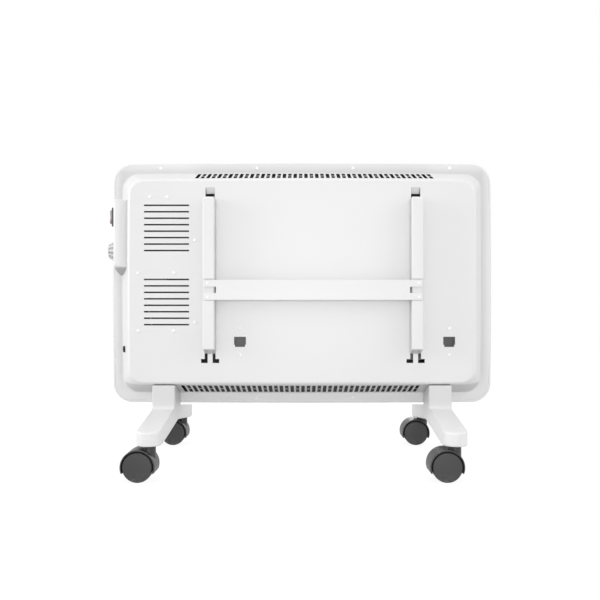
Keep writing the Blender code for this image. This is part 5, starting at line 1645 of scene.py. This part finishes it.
@dataclass
class WallBracket:
    """Two folded channels and a riveted cross strip, hooked on the rear face."""

    case: Case
    sheet: float = 0.0015
    nose: float = 0.003
    drop: float = 0.0085
    recess: float = 0.0024
    recess_margin: float = 0.0015
    bend: float = 0.0028
    crisp: float = 0.0005
    hook_width: float = 0.012
    hook_tip: float = 0.0036
    hook_sink: float = 0.0001
    prong: float = 0.0013
    prong_height: float = 0.003
    prong_reach: float = 0.004
    latch_inner: float = 0.0043
    fork_height: float = 0.0095
    fork_reach: float = 0.0025
    lap: float = 0.0076
    rivet_spacing: float = 0.0221
    rivet_shift: float = 0.002
    rivet_radius: float = 0.0020
    rivet_rise: float = 0.0005
    rivet_dome: tuple[Point, ...] = ((1.0, 0.4), (0.75, 0.8), (0.35, 1.0))
    crease: float = 0.00025
    lip: float = 0.0008
    lip_depth: float = 0.012
    film: float = 0.68

    def build(self) -> None:
        """Make both channels, the strip and the rivets."""
        strip = Box.of("bracket_cross_strip")
        for side in SIDES:
            self.build_channel(side, strip)
        self.build_strip(strip)

    def build_channel(self, side: str, strip: Box) -> None:
        """One channel: its web and side walls, its hook and its latch prongs.

        Args:
            side: the channel's side.
            strip: the cross strip's box.
        """
        node = f"bracket_channel_{side}"
        box = Box.of(node)
        top, back = box.high.z - HOOK_TIP, self.case.face_y + FIT
        low, high = strip.low.z - self.recess_margin, strip.high.z + self.recess_margin
        front, sunk = box.high.y, box.high.y - self.recess
        outline = [
            (back, box.low.z), (front, box.low.z + self.drop), (front, low), (sunk, low),
            (sunk, high), (front, high), (front, top - self.nose), (front - self.nose, top),
            (back, top),
        ]
        bm = bmesh.new()
        add_sweep(bm, [(box.low.x, y, z) for y, z in outline], (box.size.x, 0, 0))
        behind = [face for face in bm.faces if face.calc_center_median().y < back + WELD]
        bmesh.ops.delete(bm, geom=behind, context="FACES_ONLY")
        soften(bm, folds(bm, lambda edge: self.is_side_bend(edge, back)), self.bend, 7)
        channel = stand(f"channel_{side}", bm)
        thicken(channel, self.sheet)
        round_off(channel, self.crisp, 2, 60)
        # Painted shade: the channel's side walls darken towards the rear face.
        coat = Sheltered.over(
            Coats.WHITE_PAINT,
            "channel powder coat",
            axis="Y",
            clean=front - self.sheet,
            dusty=front - 2 * self.nose,
            film=self.film,
        )
        show(channel, coat, replaces=[node])
        self.build_hook(side, box, top, back)

    def is_side_bend(self, edge: BMEdge, back: float) -> bool:
        """Whether an edge folds the web over to one of the side walls."""
        first, second = (vert.co for vert in edge.verts)
        return abs(first.x - second.x) < WELD and max(first.y, second.y) > back + WELD

    def build_hook(self, side: str, box: Box, top: float, back: float) -> None:
        """The hook through the casing, and the two prongs at the foot.

        Args:
            side: the channel's side.
            box: the channel's box.
            top: the upper end of the channel's web, in Z.
            back: the plane where the channel stands on the rear face, in Y.
        """
        middle, width = box.centre.x, self.hook_width
        outer, inside = back + self.sheet, self.case.face_y - self.case.sheet - FIT
        bottom, tip = top - self.sheet, top + self.hook_tip
        hook = [
            (outer, bottom), (outer, top - self.hook_sink), (inside, top - self.hook_sink),
            (inside, tip), (inside - self.sheet, tip), (inside - self.sheet, bottom),
        ]
        bm = bmesh.new()
        add_sweep(bm, [(middle - width / 2, y, z) for y, z in hook], (width, 0, 0))
        foot, reach = box.low.z + FIT, self.case.face_y - self.prong_reach
        for way in (-1, 1):
            near = middle + way * self.latch_inner
            first, second = sorted((near, near + way * self.prong))
            add_block(bm, (first, reach, foot), (second, outer, foot + self.prong_height))
        hooks = stand(f"channel_hooks_{side}", bm)
        round_off(hooks, FIT, 2)
        show(hooks, Coats.WHITE_PAINT)

    def build_strip(self, box: Box) -> None:
        """The strip with forked ends and a faint crease along its middle, and its rivets.

        Args:
            box: the strip's box.
        """
        middle, half, fork = box.centre.z, box.size.z / 2, self.fork_height / 2
        gap = Box.of("bracket_channel_right").size.x / 2
        ends = {side: Box.of(f"bracket_channel_{side}").centre.x for side in SIDES}
        arms = []
        for side, way in SIDES.items():
            tip = ends[side] + way * self.lap
            root = ends[side] - way * (gap + self.fork_reach)
            arm = [(tip, half), (tip, fork), (root, fork)]
            arms += [(x, way * z) for x, z in arm]
            arms += [(x, -way * z) for x, z in reversed(arm)]
        outer = box.high.y - self.rivet_rise
        inner = outer - self.sheet
        bm = bmesh.new()
        add_sweep(bm, [(x, inner, middle + z) for x, z in arms], (0, self.sheet, 0))
        slice_level(bm, middle)
        for vert in bm.verts:
            if abs(vert.co.z - middle) < WELD:
                vert.co.y -= self.crease
        strip = stand("cross_strip", bm)
        round_off(strip, self.crisp, 3, 50)
        show(strip, Coats.WHITE_PAINT, replaces=["bracket_cross_strip"])
        for side, way in SIDES.items():
            edge = ends[side] - way * gap
            self.build_lips(side, (edge, edge - way * self.fork_reach), inner, middle)
        places = [
            (ends[side] + way * self.rivet_shift, outer, middle + level * self.rivet_spacing / 2)
            for side, way in SIDES.items()
            for level in (1, -1)
        ]
        for number, place in enumerate(places, 1):
            self.build_rivet(number, place)

    def build_rivet(self, number: int, place: Place) -> None:
        """One rivet, from the strip's inner face to its low dome.

        Args:
            number: the rivet's number.
            place: its middle, on the strip's outer face.
        """
        radius, rise = self.rivet_radius, self.rivet_rise
        dome = [(radius * across, rise * up) for across, up in self.rivet_dome]
        profile = [(0, -self.sheet), (radius, -self.sheet), *dome, (0, rise)]
        bm = bmesh.new()
        add_turned(bm, profile, place, (0, 1, 0), 32)
        show(stand(f"bracket_rivet_{number}", bm), Coats.SCREW_HIGHLIGHT_PAINT)

    def build_lips(self, side: str, span: Point, depth: float, middle: float) -> None:
        """The turned-in lips that close the end of a fork beside its channel.

        Args:
            side: the channel's side.
            span: the gap in X, from the channel outwards.
            depth: the strip's inner face, in Y.
            middle: the strip's middle, in Z.
        """
        near, far = span
        out = far + math.copysign(self.lip, far - near)
        half = self.fork_height / 2
        full = half + self.lip
        blocks = [
            ((far, out), (-full, full), 0),
            ((near, out), (half, full), 0),
            ((near, out), (-full, -half), 0),
            ((near, out), (-full, full), self.lip_depth),
        ]
        bm = bmesh.new()
        for across, (bottom, top), back in blocks:
            first, second = sorted(across)
            floor = depth - self.lip_depth - (self.lip if back else 0)
            add_block(bm, (first, floor, middle + bottom), (second, depth - back, middle + top))
        show(stand(f"fork_lips_{side}", bm), Coats.WHITE_PAINT)


# Feet and castors

@dataclass
class Foot:
    """A moulded foot: an arched beam with round ends, and the stem that carries the casing."""

    case: Case
    side: str
    arch: float = 0.067
    end_top: float = 0.0715
    crown: float = 0.0893
    pad: float = 0.012
    wheelbase: float = 0.280
    chamfer: float = 0.0035
    shoulder: float = 0.0075
    web_radius: float = 0.005
    edge: float = 0.0022
    stem_bore: float = 0.0043
    screw_head: float = 0.0025
    climb: float = 0.012
    film: float = 0.84

    def outline(self, box: Box) -> list[Point]:
        """The side of the foot, as places along Y and Z.

        Args:
            box: the foot's box.

        Returns:
            Its corners, in order.
        """
        end, low, pad = box.high.y, box.low.z, self.wheelbase / 2 - self.pad
        front, rear = self.case.centre.y + FIT, self.case.face_y
        step = rear - self.shoulder
        slope = self.case.top_draft / self.case.depth
        top = self.case.floor_z(FIT, box.centre.x) - FIT
        seat = top + slope * (step - front)
        return [
            (-end, low), (-pad, low), (0, self.arch), (pad, low), (end, low), (end, self.end_top),
            (rear, self.crown), (rear, seat), (step, seat),
            (front + self.chamfer, top + slope * self.chamfer), (front, top - self.chamfer),
            (front, self.crown), (-end, self.end_top),
        ]

    def build(self) -> None:
        """Make, round and bore the foot."""
        node = f"foot_{self.side}"
        box = Box.of(node)
        bm = bmesh.new()
        add_sweep(bm, [(box.low.x, y, z) for y, z in self.outline(box)], (box.size.x, 0, 0))
        soften(bm, folds(bm, self.is_web), self.web_radius, 5)
        ends = folds(bm, lambda edge: self.is_end(edge, box))
        soften(bm, ends, box.size.x / 2 - FIT, 10)
        foot = stand(f"foot_shell_{self.side}", bm)
        round_off(foot, self.edge, 4, 34)
        cut(foot, self.bores(box.low.z - OVERRUN))
        # Painted shade: the foot's stem darkens upwards, under the casing.
        coat = Sheltered.over(
            Coats.WHITE_MOULDING,
            "foot moulding",
            axis="Z",
            clean=self.end_top,
            dusty=self.crown + self.climb,
            film=self.film,
        )
        show(foot, coat, replaces=[node])
        for end in ENDS:
            dress(f"foot_screw_{self.side}_{end}", Coats.ZINC)

    def is_web(self, edge: BMEdge) -> bool:
        """Whether an edge is the inner corner between the stem and the beam."""
        level = abs(middle_of(edge).z - self.crown) < WELD
        return level and abs(edge.verts[0].co.y - edge.verts[1].co.y) < WELD

    def is_end(self, edge: BMEdge, box: Box) -> bool:
        """Whether an edge is an upright corner of the beam's ends.

        Args:
            edge: the edge.
            box: the foot's box.

        Returns:
            The answer.
        """
        first, second = (vert.co for vert in edge.verts)
        upright = abs(first.x - second.x) < WELD and abs(first.y - second.y) < WELD
        return upright and abs(abs(first.y) - box.high.y) < WELD

    def bores(self, bottom: float) -> BMesh:
        """Cutters for the castors' stems and the counterbored screws, from below.

        Args:
            bottom: where they start, in Z.

        Returns:
            A mesh of rods.
        """
        bm = bmesh.new()
        for end in ENDS:
            stem = Box.of(f"castor_stem_{end}_{self.side}")
            screw = Box.of(f"foot_screw_{self.side}_{end}")
            head_top = screw.low.z + self.screw_head
            bores = (stem, stem.high.z, self.stem_bore), (screw, head_top, screw.size.x / 2 + FIT)
            for box, top, radius in bores:
                x, y, _ = box.centre
                add_rod(bm, (x, y, bottom), (x, y, top + FIT), radius)
        return bm


@dataclass
class Castor:
    """A hooded castor with two wheels."""

    side: str
    end: str
    shell: float = 0.002
    web: float = 0.0036
    drop: float = 0.0087
    edge: float = 0.00054
    hood_radius: float = 0.0252
    boss_radius: float = 0.0095
    boss_flare: float = 0.0004
    boss_start: float = 0.010
    boss_straight: float = 0.014
    boss_round: float = 0.0008
    stem_radius: float = 0.0040
    collar: float = 0.0008
    collar_round: float = 0.0002
    disc: float = 0.0204
    inner_rim: tuple[Point, ...] = ((0.0016, 0.0), (0.0004, 0.0006), (0.0, 0.0018))
    outer_rim: tuple[Point, ...] = ((0.0, 0.0032), (0.0004, 0.0020))
    disc_step: tuple[Point, ...] = ((-0.0006, 0.0014), (-0.0002, 0.0004), (0.0006, 0.0))

    @property
    def tag(self) -> str:
        """The castor's name within the nodes."""
        return f"{self.end}_{self.side}"

    def build(self) -> None:
        """Make the hood, both wheels and the stem, and paint the axle."""
        axle = Box.of(f"castor_axle_{self.tag}").centre
        stem = Box.of(f"castor_stem_{self.tag}")
        self.build_hood(axle, stem.centre)
        self.build_stem(stem)
        dress(f"castor_axle_{self.tag}", Coats.ZINC)
        for place, way in ENDS.items():
            self.build_wheel(place, way, axle)

    def build_hood(self, axle: Vector, stem: Vector) -> None:
        """The drum over the wheels, open below and on both sides, with its boss.

        Args:
            axle: the middle of the axle.
            stem: the middle of the stem.
        """
        node = f"castor_hood_{self.tag}"
        box = Box.of(node)
        half = Vector((0, box.size.y / 2, 0))
        bm = bmesh.new()
        add_rod(bm, axle - half, axle + half, self.hood_radius, 96)
        for cap in [face for face in bm.faces if abs(face.normal.y) > 0.9]:
            way = 1 if cap.normal.y > 0 else -1
            inset(bm, cap, self.shell)
            push(bm, cap, -way * (half.y - self.web / 2))
        rim = slice_level(bm, axle.z - self.drop, clear=True)
        bmesh.ops.holes_fill(bm, edges=rim, sides=0)
        bmesh.ops.recalc_face_normals(bm, faces=bm.faces)
        hood = stand(f"hood_{self.tag}", bm)
        round_off(hood, self.edge, 2, 60)
        radius, start, top = self.boss_radius, axle.z + self.boss_start, box.high.z
        profile = [
            (0, start), (radius + self.boss_flare, start), (radius, axle.z + self.boss_straight),
            (radius, top - self.boss_round), (radius - self.boss_round, top), (0, top),
        ]
        boss = bmesh.new()
        boss.from_mesh(hood.data)
        add_turned(boss, profile, (stem.x, stem.y, 0), (0, 0, 1))
        boss.to_mesh(hood.data)
        boss.free()
        show(hood, Coats.CASTOR_MOULDING, f"castor_{self.tag}", [node])

    def build_stem(self, box: Box) -> None:
        """The steel stem with its collar, which shows between the boss and the foot.

        Args:
            box: the stem's box.
        """
        top = Box.of(f"foot_{self.side}").low.z - FIT
        low, edge = top - self.collar, self.collar_round
        pin, radius = self.stem_radius, box.size.x / 2
        profile = [
            (0, box.low.z), (pin, box.low.z), (pin, low), (radius - edge, low),
            (radius, low + edge), (radius, top - edge), (radius - edge, top), (pin, top),
            (pin, box.high.z), (0, box.high.z),
        ]
        bm = bmesh.new()
        add_turned(bm, profile, (box.centre.x, box.centre.y, 0), (0, 0, 1), 40)
        stem = stand(f"stem_{self.tag}", bm)
        show(stem, Coats.ZINC, f"castor_{self.tag}", [f"castor_stem_{self.tag}"])

    def build_wheel(self, place: str, way: int, axle: Vector) -> None:
        """One wheel: a crowned tread, a stepped shoulder and a flat disc.

        Args:
            place: whether it is the front or the rear wheel.
            way: its side of the axle, -1 or 1.
            axle: the middle of the axle.
        """
        node, name = f"castor_wheel_{self.tag}_{place}", f"wheel_{self.tag}_{place}"
        box = Box.of(node)
        inner, outer = sorted((abs(box.low.y - axle.y), abs(box.high.y - axle.y)))
        profile = [
            (0, inner),
            *((axle.z - sink, inner + rise) for sink, rise in self.inner_rim),
            *((axle.z - sink, outer - drop) for sink, drop in self.outer_rim),
            *((self.disc - sink, outer - drop) for sink, drop in self.disc_step),
            (0, outer),
        ]
        bm = bmesh.new()
        add_turned(bm, profile, axle, (0, way, 0), 96)
        show(stand(name, bm), Coats.CASTOR_MOULDING, name, [node])


# Inner parts

def dress_inside() -> None:
    """Paint the inner parts, which keep the shapes of their nodes."""
    coats = {
        Coats.BLACK_MOULDING: [
            "element_support_right", "element_support_left", "thermostat_body",
            "harness_clip", "tip_over_switch", "terminal_block",
        ],
        Coats.ALUMINIUM: ["element_fins"],
        Coats.TUBE: ["element_sheath"],
        Coats.ZINC: ["compartment_partition", "thermal_cutout"],
        Coats.SLEEVE: [node for node in frame["nodes"] if node.startswith("lead_")],
    }
    for coat, nodes in coats.items():
        for node in nodes:
            dress(node, coat)


# Studio

@dataclass(frozen=True)
class Lamp:
    """A square soft light that faces a target."""

    name: str
    place: Place
    target: Place
    size: float
    power: float

    def build(self) -> None:
        """Hang the lamp."""
        light = bpy.data.lights.new(self.name, "AREA")
        light.size = self.size
        light.energy = self.power
        obj = add_object(self.name, light)
        obj.location = self.place
        aim = Vector(self.target) - Vector(self.place)
        obj.rotation_euler = aim.to_track_quat("-Z", "Y").to_euler()


@dataclass
class Studio:
    """The floor, the white surround, the lamps and the camera."""

    case: Case
    floor_half: float = 6.0
    floor_glow: float = 1.14
    floor_seen: float = 0.8
    fill: float = 0.79
    lamps: tuple[Lamp, ...] = (
        Lamp("key", (2.9, 0.5, 0.9), (0, 0, 0.25), 1.2, 36),
        Lamp("side fill", (-2.5, 0.9, 1.4), (0, 0, 0.25), 1.6, 18),
        Lamp("front", (0.0, 2.9, 0.4), (0, 0, 0.3), 0.8, 20),
        Lamp("top", (0.3, 0.3, 2.6), (0, 0, 0.3), 1.2, 9),
        Lamp("far side", (-0.7, -2.8, 1.3), (0, 0, 0.25), 1.4, 22),
    )
    distance: float = 1.1824
    eye_height: float = 0.250
    focal_px: float = 700.0
    image_px: float = 600.0
    sensor_mm: float = 36.0
    shift_px: Point = (-2.0, 9.0)

    def build(self) -> None:
        """Set the whole studio up."""
        self.build_floor()
        self.build_world()
        for lamp in self.lamps:
            lamp.build()
        self.build_camera()
        bpy.context.scene.view_settings.view_transform = "Standard"

    def build_floor(self) -> None:
        """A white floor that shows almost white to the camera and keeps a faint shadow."""
        bm = bmesh.new()
        bmesh.ops.create_grid(bm, x_segments=1, y_segments=1, size=self.floor_half)
        floor = stand("floor", bm)
        material = bpy.data.materials.new("studio floor")
        graph = Graph(material)
        grain = graph.mix(graph.noise(40, 3), (0.55, 0.55, 0.55), (0.59, 0.59, 0.59))
        matt = {"Base Color": grain, "Roughness": 0.9, "Specular IOR Level": 0.0}
        diffuse = graph.node("ShaderNodeBsdfPrincipled", matt)
        glow = {"Color": (1, 1, 1, 1), "Strength": self.floor_glow}
        white = graph.node("ShaderNodeEmission", glow)
        seen = graph.seen() * self.floor_seen
        mixed = graph.node("ShaderNodeMixShader", {0: seen, 1: diffuse, 2: white})
        graph.node("ShaderNodeOutputMaterial", {"Surface": mixed})
        floor.data.materials.append(material)

    def build_world(self) -> None:
        """A pale surround: plain white where it is seen, and a soft fill as light."""
        world = bpy.data.worlds.new("surround")
        bpy.context.scene.world = world
        graph = Graph(world)
        strength = self.fill + graph.seen() * (1 - self.fill)
        light = graph.node("ShaderNodeBackground", {"Color": (1, 1, 1, 1), "Strength": strength})
        graph.node("ShaderNodeOutputWorld", {"Surface": light})

    def build_camera(self) -> None:
        """The photograph's level camera, square on to the rear face."""
        data = bpy.data.cameras.new("camera")
        data.sensor_width = self.sensor_mm
        data.lens = self.focal_px / self.image_px * self.sensor_mm
        data.shift_x, data.shift_y = (shift / self.image_px for shift in self.shift_px)
        camera = add_object("camera", data)
        camera.location = (0, self.case.centre.y + self.distance, self.eye_height)
        camera.rotation_euler = (math.pi / 2, 0, math.pi)
        bpy.context.scene.camera = camera


def build_heater(case: Case) -> None:
    """Build every sub-assembly in order.

    Args:
        case: the sizes that the parts share.
    """
    FrontPanel(case).build()
    RearCasing(case).build()
    Screws(case).build()
    ControlBox(case).build()
    Switch().build()
    Knob().build()
    CordInlet().build()
    WallBracket(case).build()
    for side in SIDES:
        Foot(case, side).build()
        for end in ENDS:
            Castor(side, end).build()
    dress_inside()


def main() -> None:
    """Build the heater and then the studio."""
    logging.basicConfig(level=logging.INFO, format="%(name)s: %(message)s")
    case = Case()
    build_heater(case)
    Studio(case).build()


if __name__ == "__main__":
    main()
